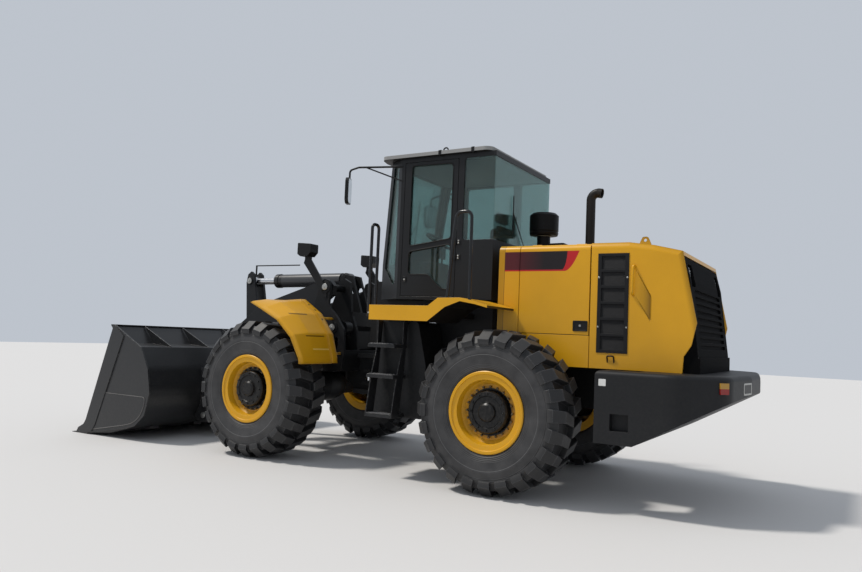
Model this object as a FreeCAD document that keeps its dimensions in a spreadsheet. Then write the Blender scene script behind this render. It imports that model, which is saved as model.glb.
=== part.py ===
import FreeCAD, Part
import math
import os
import Sketcher

Vector = FreeCAD.Vector

doc = FreeCAD.newDocument("wheel_loader")
sheet = doc.addObject("Spreadsheet::Sheet", "dims")


class Size:
    """A length or angle that knows both its value and the sheet expression that gives it."""

    def __init__(self, value, text):
        self.value = value
        self.text = text

    def _join(self, first, sign, second):
        a, b = as_size(first), as_size(second)
        value = {"+": a.value + b.value, "-": a.value - b.value, "*": a.value * b.value}[sign]
        return Size(value, f"({a.text} {sign} {b.text})")

    def __add__(self, other):
        return self._join(self, "+", other)

    def __radd__(self, other):
        return self._join(other, "+", self)

    def __sub__(self, other):
        return self._join(self, "-", other)

    def __rsub__(self, other):
        return self._join(other, "-", self)

    def __mul__(self, other):
        return self._join(self, "*", other)

    def __rmul__(self, other):
        return self._join(other, "*", self)

    def __neg__(self):
        return self._join(0, "-", self)

    def __truediv__(self, other):
        return Size(self.value / other, f"({self.text} / {other})")


def as_size(x):
    return x if isinstance(x, Size) else Size(x, str(x))


def val(x):
    return as_size(x).value


rows = []


def dim(name, value, note):
    """Puts one driving dimension in the sheet and returns it as a Size."""
    row = len(rows) + 1
    rows.append(name)
    sheet.set(f"A{row}", name)
    sheet.set(f"B{row}", str(value))
    sheet.setAlias(f"B{row}", name)
    sheet.set(f"C{row}", note)
    return Size(value, f"dims.{name}")


# Driving dimensions, in millimetres and degrees. X runs forward, Y to the left, Z up.
rear_axle_x = dim("rear_axle_x", -1915, "rear axle from the middle of the overall length")
wheelbase = dim("wheelbase", 3000, "rear axle to front axle")
wheel_radius = dim("wheel_radius", 770, "tyre out to the lugs' tips")
track_half = dim("track_half", 1125, "centre plane to the middle of a tyre")
tyre_half_width = dim("tyre_half_width", 298, "half the section of a tyre")
flange_radius = dim("flange_radius", 381, "outer radius of the rim flange")
bead_radius = dim("bead_radius", 317.5, "seat of a 25 inch tyre")
rim_half_width = dim("rim_half_width", 262, "half the rim over its flanges")
hub_radius = dim("hub_radius", 200, "planetary hub")
bucket_half_width = dim("bucket_half_width", 1500, "half the cutting edge")
cab_half_width = dim("cab_half_width", 750, "cab side over the pillars")
cab_floor_z = dim("cab_floor_z", 1840, "underside of the cab floor")
roof_z = dim("roof_z", 3400, "underside of the roof")
hood_half_width = dim("hood_half_width", 820, "hood side")
hood_floor_z = dim("hood_floor_z", 1215, "lower edge of the hood")
hood_top_z = dim("hood_top_z", 2385, "top of the hood")
counterweight_half = dim("counterweight_half", 1240, "side of the counterweight")
pin_gap = dim("pin_gap", 0.08, "radial clearance of a pin in its bore")
sheet_wall = dim("sheet_wall", 20, "folded sheet of hood and fenders")
cab_wall = dim("cab_wall", 45, "cab pillars and walls")
glass = dim("glass", 8, "window panes")

front_axle_x = rear_axle_x + wheelbase
pivot_x = rear_axle_x + wheelbase / 2
axle_z = wheel_radius


def rear(x):
    """A place on the rear frame, measured forward from the rear axle."""
    return rear_axle_x + x


def front(x):
    """A place on the front frame, measured forward from the front axle."""
    return front_axle_x + x


def bind(thing, path, size):
    thing.setExpression(path, as_size(size).text)


def place(thing, x=0, y=0, z=0):
    for axis, size in (("x", x), ("y", y), ("z", z)):
        if val(size):
            bind(thing, f"Placement.Base.{axis}", size)


def box(name, x, y, z):
    """A block between two limits on each axis."""
    block = doc.addObject("Part::Box", name)
    for path, (low, high) in (("Length", x), ("Width", y), ("Height", z)):
        bind(block, path, as_size(high) - low)
    place(block, x[0], y[0], z[0])
    return block


def bar(name, start, end, radius):
    """A round bar from one point to another."""
    cylinder = doc.addObject("Part::Cylinder", name)
    run = Vector(*(val(b) - val(a) for a, b in zip(start, end)))
    bind(cylinder, "Radius", radius)
    cylinder.Height = run.Length
    turn = FreeCAD.Rotation(Vector(0, 0, 1), run)
    cylinder.Placement = FreeCAD.Placement(Vector(*(val(a) for a in start)), turn)
    place(cylinder, *start)
    return cylinder


def cross_bar(name, x, z, y, radius):
    """A round bar across the machine, between two places on Y."""
    cylinder = doc.addObject("Part::Cylinder", name)
    bind(cylinder, "Radius", radius)
    bind(cylinder, "Height", as_size(y[1]) - y[0])
    cylinder.Placement = FreeCAD.Placement(Vector(), FreeCAD.Rotation(Vector(1, 0, 0), -90))
    place(cylinder, x, y[0], z)
    return cylinder


def upright(name, x, y, z, radius):
    """A round post between two heights."""
    cylinder = doc.addObject("Part::Cylinder", name)
    bind(cylinder, "Radius", radius)
    bind(cylinder, "Height", as_size(z[1]) - z[0])
    place(cylinder, x, y, z[0])
    return cylinder


PLANES = {"side": "XZ_Plane", "plan": "XY_Plane", "end": "YZ_Plane"}


def sketch(body, name, plane, points):
    """A closed outline on one of the body's own planes, each corner tied to the sheet."""
    drawn = body.newObject("Sketcher::SketchObject", name + "_outline")
    plane_role = PLANES[plane]
    support = next(o for o in body.Origin.OriginFeatures if o.Role == plane_role)
    drawn.AttachmentSupport = (support, [""])
    drawn.MapMode = "FlatFace"
    corners = [Vector(val(a), val(b), 0) for a, b in points]
    count = len(corners)
    for i in range(count):
        drawn.addGeometry(Part.LineSegment(corners[i], corners[(i + 1) % count]), False)
    for i in range(count):
        drawn.addConstraint(Sketcher.Constraint("Coincident", i, 2, (i + 1) % count, 1))
    for i, (a, b) in enumerate(points):
        for kind, size in (("DistanceX", a), ("DistanceY", b)):
            made = drawn.addConstraint(Sketcher.Constraint(kind, -1, 1, i, 1, val(size)))
            if isinstance(size, Size):
                bind(drawn, f"Constraints[{made}]", size)
    return drawn


def corner_edges(shape, direction, corners):
    """Names of the straight edges along one axis that stand on the given corners."""
    found = []
    for i, edge in enumerate(shape.Edges):
        if len(edge.Vertexes) != 2:
            continue
        run = edge.Vertexes[1].Point - edge.Vertexes[0].Point
        if run.Length < 1 or abs(abs(run.normalize().dot(direction)) - 1) > 1e-6:
            continue
        point = edge.Vertexes[0].Point
        if any(abs((point - c).cross(direction).Length) < 0.5 for c in corners):
            found.append(f"Edge{i + 1}")
    return found


def prism(name, plane, points, span, rounds=()):
    """An outline padded between two limits, with the listed corners rounded.

    rounds holds (corner numbers, radius).
    """
    low, high = span
    body = doc.addObject("PartDesign::Body", name)
    drawn = sketch(body, name, plane, points)
    pad = body.newObject("PartDesign::Pad", name + "_pad")
    pad.Profile = drawn
    bind(pad, "Length", as_size(high) - low)
    if plane == "side":
        place(body, y=high)
        axis, lift = Vector(0, 1, 0), lambda a, b: Vector(a, 0, b)
    elif plane == "plan":
        place(body, z=low)
        axis, lift = Vector(0, 0, 1), lambda a, b: Vector(a, b, 0)
    else:
        place(body, x=low)
        axis, lift = Vector(1, 0, 0), lambda a, b: Vector(0, a, b)
    base = pad
    for numbers, radius in rounds:
        doc.recompute()
        corners = [lift(val(points[i][0]), val(points[i][1])) for i in numbers]
        soft = body.newObject("PartDesign::Fillet", name + "_round")
        soft.Base = (base, corner_edges(base.Shape, axis, corners))
        bind(soft, "Radius", radius)
        base = soft
    return body


def turned(name, points, x, y, z, flip=False):
    """A section turned about an axis across the machine; points are (y, radius)."""
    body = doc.addObject("PartDesign::Body", name)
    drawn = sketch(body, name, "side", [(r, a) for a, r in points])
    turn = body.newObject("PartDesign::Revolution", name + "_turn")
    turn.Profile = drawn
    turn.ReferenceAxis = (drawn, ["V_Axis"])
    turn.Angle = 360
    body.Placement = FreeCAD.Placement(Vector(), FreeCAD.Rotation(Vector(1, 0, 0), 90 if flip else -90))
    place(body, x, y, z)
    return body


def fuse(name, pieces, refine=True):
    joined = doc.addObject("Part::MultiFuse", name)
    joined.Shapes = pieces
    joined.Refine = refine
    return joined


def swept(name, path, radius, bend):
    """A round tube along a path of points, each inner corner bent to a radius."""
    points = [Vector(*(val(c) for c in p)) for p in path]
    edges, last = [], points[0]
    for before, corner, after in zip(points, points[1:], points[2:]):
        arrive, leave = (before - corner).normalize(), (after - corner).normalize()
        half = arrive.getAngle(leave) / 2
        reach = bend / math.tan(half)
        start, end = corner + arrive * reach, corner + leave * reach
        middle = (arrive + leave).normalize() * (bend / math.sin(half) - bend) + corner
        edges += [Part.LineSegment(last, start).toShape(), Part.Arc(start, middle, end).toShape()]
        last = end
    edges.append(Part.LineSegment(last, points[-1]).toShape())
    ring = Part.Wire(Part.Circle(points[0], points[1] - points[0], val(radius)).toShape())
    tube = doc.addObject("Part::Feature", name)
    tube.Shape = Part.Wire(edges).makePipeShell([ring], True, False)
    return tube


def gather(name, pieces):
    """Like pieces that don't touch, held in one node."""
    group = doc.addObject("Part::Compound", name)
    group.Links = pieces
    return group


def cut(name, base, tools):
    made = doc.addObject("Part::Cut", name)
    made.Base = base
    made.Tool = tools[0] if len(tools) == 1 else fuse(name + "_tools", tools)
    return made


def mirrored(name, source):
    """The same piece on the other side of the machine."""
    other = doc.addObject("Part::Mirroring", name)
    other.Source = source
    other.Normal = (0, 1, 0)
    other.Base = (0, 0, 0)
    return other


def common(name, base, tool):
    made = doc.addObject("Part::Common", name)
    made.Base = base
    made.Tool = tool
    return made


def turned_copy(name, source, angle):
    """The same piece again, turned about the cross axis through the origin."""
    copy = gather(name, [source])
    copy.Placement = FreeCAD.Placement(Vector(), FreeCAD.Rotation(Vector(0, 1, 0), angle))
    return copy


def placed_copy(name, source, x, y, z):
    """The same piece again at its own place."""
    copy = gather(name + "_place", [source])
    place(copy, x, y, z)
    return copy


nodes = {}


def node(name, thing):
    """Marks a finished piece: its label is its file's name."""
    thing.Label = name
    nodes[name] = thing
    return thing


# Wheels: a lugged tyre on a rim with its dished disc and planetary hub, all turned about the axle's line.
groove_radius = dim("groove_radius", 706, "floor between the tread's lugs")
bulge_radius = dim("bulge_radius", 545, "widest ring of the sidewall")
lug_count = 24
lug_pitch = 360 / lug_count
# The carcass in one section: (across the tyre, radius).
tyre_section = [
    (-rim_half_width + 17, bead_radius), (-rim_half_width + 17, flange_radius), (-rim_half_width, 405),
    (-tyre_half_width + 14, bulge_radius), (-tyre_half_width + 26, 640), (-230, groove_radius),
    (230, groove_radius), (tyre_half_width - 26, 640), (tyre_half_width - 14, bulge_radius),
    (rim_half_width, 405), (rim_half_width - 17, flange_radius), (rim_half_width - 17, bead_radius),
]
# One lug across the tyre, (across, height over the axle), and its cranked outline, (along, across).
lug_section = [
    (0, 690), (0, wheel_radius - 4.5), (200, wheel_radius - 8), (tyre_half_width, 672),
    (tyre_half_width - 7, 620),
    (260, 620), (225, 690),
]
lug_plan = [(-82, 8), (8, 8), (70, 190), (88, 310), (-28, 310), (-32, 190)]
carcass = turned("tyre_carcass", tyre_section, 0, 0, 0)
lug_bar = prism("tyre_lug_bar", "end", lug_section, (-150, 150))
lug_left = common("tyre_lug_left", lug_bar, prism("tyre_lug_blank", "plan", lug_plan, (600,
    wheel_radius + 10)))
lug_right = mirrored("tyre_lug_right", lug_left)
left_half = fuse("tyre_left_half", [carcass] + [
    turned_copy(f"tyre_lug_left_{i}", lug_left, i * lug_pitch) for i in range(lug_count)
], refine=False)
tyre = fuse("tyre", [left_half] + [
    turned_copy(f"tyre_lug_right_{i}", lug_right, (i + 0.5) * lug_pitch) for i in range(lug_count)
], refine=False)
disc_out = dim("disc_out", 130, "middle of the tyre to the rim's disc")
rim_section = [
    (-rim_half_width, 296), (-rim_half_width, flange_radius), (-rim_half_width + 17, flange_radius),
    (-rim_half_width + 17, bead_radius), (rim_half_width - 17, bead_radius),
    (rim_half_width - 17, flange_radius), (rim_half_width - 6, flange_radius), (rim_half_width,
        flange_radius - 8),
    (rim_half_width, 352), (rim_half_width - 10, 346), (rim_half_width - 14, 300), (disc_out + 45, 288),
    (disc_out + 22, 258), (disc_out + 22, hub_radius + 8),
    (disc_out, hub_radius + 8), (disc_out, 262), (disc_out - 30, 290), (-rim_half_width + 30, 290),
]
hub_section = [
    (-270, 0), (-270, 170), (-150, 210), (disc_out - 40, 210), (disc_out - 40, 250), (disc_out, 250),
    (disc_out, hub_radius), (205, hub_radius), (222, 186), (226, 150), (214, 142), (214, 92), (236, 84),
    (250, 66), (250, 0),
]
wheel_places = [
    ("rear_left", rear(0), 1), ("rear_right", rear(0), -1),
    ("front_left", front(0), 1), ("front_right", front(0), -1),
]
tyre_mirror = mirrored("tyre_other_hand", tyre)
for corner, x, side in wheel_places:
    hand = tyre if side > 0 else tyre_mirror
    node(f"tyre_{corner}", placed_copy(f"tyre_{corner}", hand, x, track_half * side, axle_z))
    node(f"rim_{corner}", fuse(f"rim_{corner}", [
        turned(f"{piece}_turned_{corner}", section, x, track_half * side, axle_z, flip=side < 0)
        for piece, section in (("rim", rim_section), ("hub", hub_section))
    ]))

# Axles: a cast housing with the differential in the middle and tapered arms out to the hubs.
axle_section = [
    (-854, 0), (-854, 150), (-780, 150), (-760, 115), (-300, 135), (-215, 180), (-90, 204), (90, 204),
    (215, 180), (300, 135), (760, 115), (780, 150), (854, 150), (854, 0),
]
axle_pad_top = dim("axle_pad_top", 980, "where the frame's plates stand on an axle")
frame_half = dim("frame_half", 380, "outside of the rear frame's plates")
for end, x in (("rear", rear(0)), ("front", front(0))):
    housing = turned(f"{end}_housing", axle_section, x, 0, axle_z)
    seats = [
        box(f"{end}_seat_{i}", (x - 130, x + 130), (y, y + 130), (axle_z + 60, axle_pad_top))
        for i, y in enumerate((-frame_half - 20, frame_half - 110))
    ]
    node(f"{end}_axle", fuse(f"{end}_axle", [housing] + seats))

# Rear frame: two plates with an arch over the axle, cross walls, and the lower half of the hinge.
plate = dim("plate", 30, "frame plate")
lug_upper_z = dim("lug_upper_z", 1215, "underside of the rear frame's upper hinge plate")
lug_lower_z = dim("lug_lower_z", 665, "underside of the rear frame's lower hinge plate")
lug_plate = dim("lug_plate", 50, "hinge plate")
hinge_pin = dim("hinge_pin", 55, "radius of the two hinge pins")
rear_side = [
    (rear(1020), 640), (rear(1020), 1290), (rear(200), 1290), (rear(-1300), 1205), (rear(-1300), 800),
    (rear(-600), 800), (rear(-340), axle_pad_top), (rear(340), axle_pad_top), (rear(600), 700),
]
rear_parts = [
    prism("rear_plate_left", "side", rear_side, (frame_half - plate, frame_half)),
    prism("rear_plate_right", "side", rear_side, (-frame_half, -frame_half + plate)),
    box("rear_front_wall", (rear(990), rear(1020)), (-frame_half, frame_half), (640, 1290)),
    box("rear_back_wall", (rear(-1300), rear(-1270)), (-frame_half, frame_half), (800, 1205)),
]
pedestal_parts = [box("pedestal_block", (rear(340), rear(1020)), (-600, 600), (1290, cab_floor_z))]
for side, sign in (("left", 1), ("right", -1)):
    low, high = (frame_half, hood_half_width - sheet_wall) if sign > 0 else (
        sheet_wall - hood_half_width, -frame_half)
    for i, x in enumerate((60, -740)):
        rear_parts.append(box(f"hood_arm_{side}_{i}", (rear(x), rear(x + 60)), (low, high), (1220, 1270)))
    low, high = (590, cab_half_width + 60) if sign > 0 else (-cab_half_width - 60, -590)
    for i, x in enumerate((560, 900)):
        pedestal_parts.append(box(f"deck_arm_{side}_{i}", (rear(x), rear(x + 70)), (low, high), (1640, 1700)))
pedestal_parts.append(box("cab_fore_beam", (rear(1020), rear(1800)), (-430, 430), (1760, cab_floor_z)))
pedestal_parts.append(prism(
    "valve_box", "side",
    [(rear(1795), 1340), (rear(1795), 2060), (rear(1930), 2060), (rear(2005), 1980), (rear(2005), 1340)],
    (-430, 430),
    rounds=[((2, 3), 30)],
))
node("cab_pedestal", fuse("cab_pedestal", pedestal_parts))
hinge_outline = [
    (rear(1000), -300), (pivot_x + 40, -135), (pivot_x + 120, -60), (pivot_x + 120, 60),
    (pivot_x + 40, 135), (rear(1000), 300),
]
for name, z in (("upper", lug_upper_z), ("lower", lug_lower_z)):
    rear_parts.append(prism(f"rear_lug_{name}", "plan", hinge_outline, (z, z + lug_plate)))
rear_parts.append(upright("hinge_pin_upper", pivot_x, 0, (lug_upper_z - 90, lug_upper_z + 70), hinge_pin))
rear_parts.append(upright("hinge_pin_lower", pivot_x, 0, (lug_lower_z - 20, lug_lower_z + 140), hinge_pin))
steer_base_x = dim("steer_base_x", 1040, "steering cylinder's base pin, from the rear axle")
steer_base_y = dim("steer_base_y", 440, "steering cylinder's base pin from the centre")
steer_eye_x = dim("steer_eye_x", 560, "steering cylinder's eye, forward of the hinge")
steer_eye_y = dim("steer_eye_y", 330, "steering cylinder's eye from the centre")
steer_z = dim("steer_z", 930, "height of the steering cylinders")
steer_pin = dim("steer_pin", 22, "radius of the steering cylinders' pins")
for side, sign in (("left", 1), ("right", -1)):
    inner, outer = frame_half - 20, steer_base_y + 50
    low, high = (inner, outer) if sign > 0 else (-outer, -inner)
    for level, z in (("low", steer_z - 85), ("high", steer_z + 55)):
        rear_parts.append(
            box(f"steer_ear_{side}_{level}", (rear(steer_base_x - 50), rear(steer_base_x + 50)), (low,
                high), (z, z + 30))
        )
    rear_parts.append(
        upright(f"steer_pin_{side}", rear(steer_base_x), steer_base_y * sign, (steer_z - 85, steer_z + 85),
            steer_pin)
    )
node("rear_chassis", fuse("rear_chassis", rear_parts))

# Drive line: the shaft that runs under the cab to the rear axle.
node("drive_shaft", bar("drive_shaft", (rear(230), 0, axle_z + 30), (rear(990), 0, axle_z + 30), 45))

# Engine: one plain block at its real place, on the frame under the hood.
node("engine", box("engine", (rear(-1150), rear(-80)), (plate - frame_half, frame_half - plate), (1010,
    2050)))

# Counterweight: one casting around the rear of the frame, its underside rising to the back.
weight_outline = [
    (rear(-975), -counterweight_half), (rear(-975), counterweight_half), (rear(-1650), counterweight_half),
    (rear(-2035), 980), (rear(-2120), 300), (rear(-2120), -300), (rear(-2035), -980),
    (rear(-1650), -counterweight_half),
]
weight_bottom = dim("weight_bottom", 590, "counterweight's lowest face")
weight_top = dim("weight_top", 1215, "counterweight's top")
weight = prism(
    "weight_block", "plan", weight_outline, (weight_bottom, weight_top),
    rounds=[((2, 7), 300), ((3, 6), 260)],
)
weight_tools = [
    prism(
        "weight_slope", "side",
        [(rear(-1300), weight_bottom - 5), (rear(-2200), weight_bottom + 495), (rear(-2200),
            weight_bottom - 5)],
        (-1300, 1300),
    ),
    box("weight_bay", (rear(-1300), rear(-900)), (-1010, 1010), (weight_bottom - 10, weight_top + 10)),
]
for side, sign in (("left", 1), ("right", -1)):
    y0, y1 = (counterweight_half - 70, counterweight_half + 10) if sign > 0 else (
        -counterweight_half - 10, -counterweight_half + 70)
    weight_tools.append(box(f"jack_hole_{side}", (rear(-1275), rear(-1115)), (y0, y1), (705, 850)))
crown_radius = dim("crown_radius", 45, "rounded top edge of the counterweight")
doc.recompute()
weight_last = weight.Tip
weight_faces = weight_last.Shape.Faces
weight_top_face = max(range(len(weight_faces)), key=lambda i: weight_faces[i].CenterOfMass.z)
weight_crown = weight.newObject("PartDesign::Fillet", "weight_crown")
weight_crown.Base = (weight_last, [f"Face{weight_top_face + 1}"])
bind(weight_crown, "Radius", crown_radius)
tail_lamp = prism("tail_lamp_left", "plan", [
    (rear(-2002), 950), (rear(-1945), 1007), (rear(-1975), 1037), (rear(-2032), 980),
], (1068, 1162))
tail_lamp_pair = [tail_lamp, mirrored("tail_lamp_right", tail_lamp)]
node("counterweight", cut("counterweight", weight, weight_tools + tail_lamp_pair))

# Tail lamps set into the counterweight's rear corners.
node("tail_lamps", gather("tail_lamps", tail_lamp_pair))

# Hood: a fixed front section with a lifting door each side, and a rear section around the cooler.
seam_x = dim("seam_x", -775, "seam between the hood's two sections, from the rear axle")
door_sill_z = dim("door_sill_z", 1515, "lower seam of an engine door")
door_front_x = dim("door_front_x", -45, "front seam of an engine door, from the rear axle")
door_hinge_y = dim("door_hinge_y", 700, "hinge line of an engine door from the centre")
hood_round = dim("hood_round", 60, "rounding of the hood's shoulders")
seam_gap = dim("seam_gap", 6, "gap round a door")


def hood_section(inset):
    half = hood_half_width - inset
    return [
        (-half, hood_floor_z - inset), (-half, hood_top_z - inset), (half, hood_top_z - inset),
        (half, hood_floor_z - inset),
    ]


hood_shell = prism(
    "hood_front_outer", "end", hood_section(0), (rear(seam_x + 3), rear(180)), rounds=[((1, 2), hood_round)]
)
hood_hollow = prism(
    "hood_front_inner", "end", hood_section(sheet_wall), (rear(seam_x - 10), rear(160)),
    rounds=[((1, 2), hood_round - sheet_wall)],
)
hood_cuts = [hood_hollow, box("hood_front_notch", (rear(150), rear(190)), (-400, 400), (1200, 1310))]
for side, sign in (("left", 1), ("right", -1)):
    y0, y1 = (door_hinge_y, hood_half_width + 20) if sign > 0 else (-hood_half_width - 20, -door_hinge_y)
    hood_cuts.append(
        box(f"door_gap_{side}", (rear(seam_x - 10), rear(door_front_x)), (y0, y1), (door_sill_z,
            hood_top_z + 10))
    )
hinge_runs = ((-690, -590), (-230, -130))
lift_hinge_z = hood_top_z + 3
for i, (x0, x1) in enumerate(hinge_runs):
    for side, y in (("left", door_hinge_y + 3), ("right", -3 - door_hinge_y)):
        hood_cuts.append(bar(
            f"lift_pocket_{side}_{i}", (rear(x0 - 6), y, lift_hinge_z), (rear(x1 + 6), y, lift_hinge_z), 16))
node("hood_front", cut("hood_front", hood_shell, hood_cuts))

door_x = (rear(seam_x + 3 + seam_gap), rear(door_front_x - seam_gap))
door_outer = [
    (door_hinge_y + seam_gap, hood_top_z), (hood_half_width, hood_top_z), (hood_half_width,
        door_sill_z + seam_gap),
    (door_hinge_y + seam_gap, door_sill_z + seam_gap),
]
door_inner = [
    (door_hinge_y - 10, hood_top_z - sheet_wall), (hood_half_width - sheet_wall, hood_top_z - sheet_wall),
    (hood_half_width - sheet_wall, door_sill_z - 10), (door_hinge_y - 10, door_sill_z - 10),
]
door_shell = prism("engine_door_outer", "end", door_outer, door_x, rounds=[((1,), hood_round)])
door_hollow = prism(
    "engine_door_inner", "end", door_inner, (door_x[0] - 10, door_x[1] + 10), rounds=[((1,),
        hood_round - sheet_wall)]
)
lift_knuckles = [
    bar(f"lift_knuckle_{i}", (rear(x0), door_hinge_y + 3, lift_hinge_z), (rear(x1), door_hinge_y + 3,
        lift_hinge_z), 10)
    for i, (x0, x1) in enumerate(hinge_runs)
]
left_door = node(
    "engine_door_left", fuse("engine_door_left", [cut("engine_door_skin", door_shell,
        [door_hollow])] + lift_knuckles))
node("engine_door_right", mirrored("engine_door_right", left_door))

rear_hood_side = [
    (rear(seam_x - 3), hood_floor_z), (rear(seam_x - 3), hood_top_z), (rear(-1130), hood_top_z),
    (rear(-1360), hood_top_z - 32), (rear(-1605), 2296), (rear(-1735), 1660), (rear(-1692), 1460),
    (rear(-1630), 1362), (rear(-1620), hood_floor_z),
]
rear_hood_hollow = [
    (rear(seam_x + 20), hood_floor_z - 20), (rear(seam_x + 20), hood_top_z - sheet_wall),
    (rear(-1130), hood_top_z - sheet_wall), (rear(-1360), hood_top_z - 32 - sheet_wall), (rear(-1580), 2280),
    (rear(-1650), 2230), (rear(-1800), 1700), (rear(-1800), hood_floor_z - 20),
]
rear_shell = prism("hood_rear_outer", "side", rear_hood_side, (-hood_half_width, hood_half_width))
rear_hollow = prism(
    "hood_rear_inner", "side", rear_hood_hollow, (-hood_half_width + sheet_wall, hood_half_width - sheet_wall)
)
louvre_x = (rear(-1135), rear(-845))
louvre_z = (1362, 2285)
louvre_holes = [
    box(f"louvre_hole_{i}", louvre_x, (y, y + 60), louvre_z)
    for i, y in enumerate((hood_half_width - 40, -hood_half_width - 20))
]
lift_eyes = []
for side, y in (("left", 600), ("right", -600)):
    eye_plate = prism(f"lift_eye_plate_{side}", "side", [
        (rear(-1275), 2350), (rear(-1165), 2350), (rear(-1165), 2395), (rear(-1195), 2462), (rear(-1245),
            2462),
        (rear(-1275), 2395),
    ], (y - 8, y + 8), rounds=[((3, 4), 22)])
    eye_hole = cross_bar(f"lift_eye_hole_{side}", rear(-1220), 2430, (y - 20, y + 20), 15)
    lift_eyes.append(cut(f"lift_eye_{side}", eye_plate, [eye_hole]))
rear_skin = cut("hood_rear_skin", rear_shell, [rear_hollow] + louvre_holes)
node("hood_rear", fuse("hood_rear", [rear_skin] + lift_eyes))

# Side louvres: a framed panel of mesh rows in each side of the rear hood.
louvre_rows = 6
louvre_pitch = (louvre_z[1] - louvre_z[0] - 30) / louvre_rows
louvre_frame = box(
    "louvre_frame", louvre_x, (hood_half_width - 20, hood_half_width + 6), louvre_z,
)
louvre_slots = [
    box(
        f"louvre_slot_{i}", (louvre_x[0] + 35, louvre_x[1] - 35), (hood_half_width - 5, hood_half_width + 20),
        (louvre_z[0] + 30 + i * louvre_pitch, louvre_z[0] + 5 + (i + 1) * louvre_pitch),
    )
    for i in range(louvre_rows)
]
louvre_left = cut("louvre_left", louvre_frame, louvre_slots)
node("side_louvres", gather("side_louvres", [louvre_left, mirrored("louvre_right", louvre_left)]))

# Rear grille: the black cooler guard between the hood's sides, standing on a sill on the counterweight.
grille_half = dim("grille_half", 795, "half the rear guard")
grille_side = [
    (rear(-1530), 2244), (rear(-1616), 2244), (rear(-1668), 2040), (rear(-1748), 1372), (rear(-1748),
        weight_top),
    (rear(-1625), weight_top), (rear(-1625), 1372), (rear(-1600), 2040),
]
grille_block = prism("grille_block", "side", grille_side, (-grille_half, grille_half))
grille_lean = (1748 - 1668) / (2040 - 1372)


def on_grille(z, depth):
    """How far back the guard's face is at a height, less a depth into it."""
    return rear(-1748 + grille_lean * (z - 1372) + depth)


grille_recesses = []
for i, y in enumerate((-735, 565)):
    grille_recesses.append(prism(f"grille_lamp_recess_{i}", "side", [
        (on_grille(1985, 0) - 60, 1985), (on_grille(2190, 0) - 60, 2190), (on_grille(2190, 45), 2190),
        (on_grille(1985, 45), 1985),
    ], (y, y + 170)))
slat_count = 9
slat_pitch = 62
for i in range(slat_count):
    z = 1430 + i * slat_pitch
    grille_recesses.append(prism(f"grille_slot_{i}", "side", [
        (on_grille(z, 0) - 60, z), (on_grille(z + 38, 0) - 60, z + 38), (on_grille(z + 38, 22), z + 38),
        (on_grille(z, 22), z),
    ], (-640, 640)))
sill = box("grille_sill", (rear(-1765), rear(-1632)), (-grille_half, grille_half), (weight_top, 1355))
node("rear_grille", cut("rear_grille", fuse("grille_on_sill", [grille_block, sill]), grille_recesses))

# Exhaust stack and air pre-cleaner on the hood.
stack_x = dim("stack_x", -480, "exhaust stack from the rear axle")
stack_radius = dim("stack_radius", 48, "exhaust stack")
stack_top = dim("stack_top", 2960, "where the stack turns back")
stack_bend = 75
stack_path = Part.Wire([
    Part.LineSegment(
        Vector(val(rear(stack_x)), 0, val(hood_top_z)), Vector(val(rear(stack_x)), 0, val(stack_top))
    ).toShape(),
    Part.Arc(
        Vector(val(rear(stack_x)), 0, val(stack_top)),
        Vector(
            val(rear(stack_x)) - stack_bend * (1 - math.cos(math.pi / 4)), 0,
            val(stack_top) + stack_bend * math.sin(math.pi / 4),
        ),
        Vector(val(rear(stack_x)) - stack_bend, 0, val(stack_top) + stack_bend),
    ).toShape(),
])
stack_ring = Part.Wire(Part.Circle(
    Vector(val(rear(stack_x)), 0, val(hood_top_z)), Vector(0, 0, 1), val(stack_radius)
).toShape())
stack = doc.addObject("Part::Feature", "exhaust_stack")
stack.Shape = stack_path.makePipeShell([stack_ring], True, False)
stack_mouth = bar(
    "stack_mouth", (rear(stack_x) - stack_bend, 0, stack_top + stack_bend),
    (rear(stack_x) - stack_bend - 45, 0, stack_top + stack_bend - 8), stack_radius + 3)
stack_bore = bar(
    "stack_bore", (rear(stack_x) - stack_bend + 10, 0, stack_top + stack_bend),
    (rear(stack_x) - stack_bend - 60, 0, stack_top + stack_bend - 10), stack_radius - 4)
stack_clamp = upright("stack_clamp", rear(stack_x), 0, (hood_top_z, hood_top_z + 55), stack_radius + 22)
node("exhaust", cut("exhaust", fuse("exhaust_joined", [stack, stack_mouth, stack_clamp]), [stack_bore]))

cleaner_x = dim("cleaner_x", 45, "air pre-cleaner from the rear axle")
cleaner_section = [
    (hood_top_z, 0), (hood_top_z, 105), (hood_top_z + 18, 105), (hood_top_z + 26, 72), (2590, 72), (2598,
        150),
    (2625, 158), (2635, 152), (2645, 158), (2815, 158), (2842, 128), (2848, 0),
]
cleaner = doc.addObject("PartDesign::Body", "cleaner_bowl")
cleaner_outline = sketch(cleaner, "cleaner_bowl", "side", [(r, z) for z, r in cleaner_section])
cleaner_turn = cleaner.newObject("PartDesign::Revolution", "cleaner_bowl_turn")
cleaner_turn.Profile = cleaner_outline
cleaner_turn.ReferenceAxis = (cleaner_outline, ["V_Axis"])
cleaner_turn.Angle = 360
place(cleaner, rear(cleaner_x), 0, 0)
node("pre_cleaner", cleaner)

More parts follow.
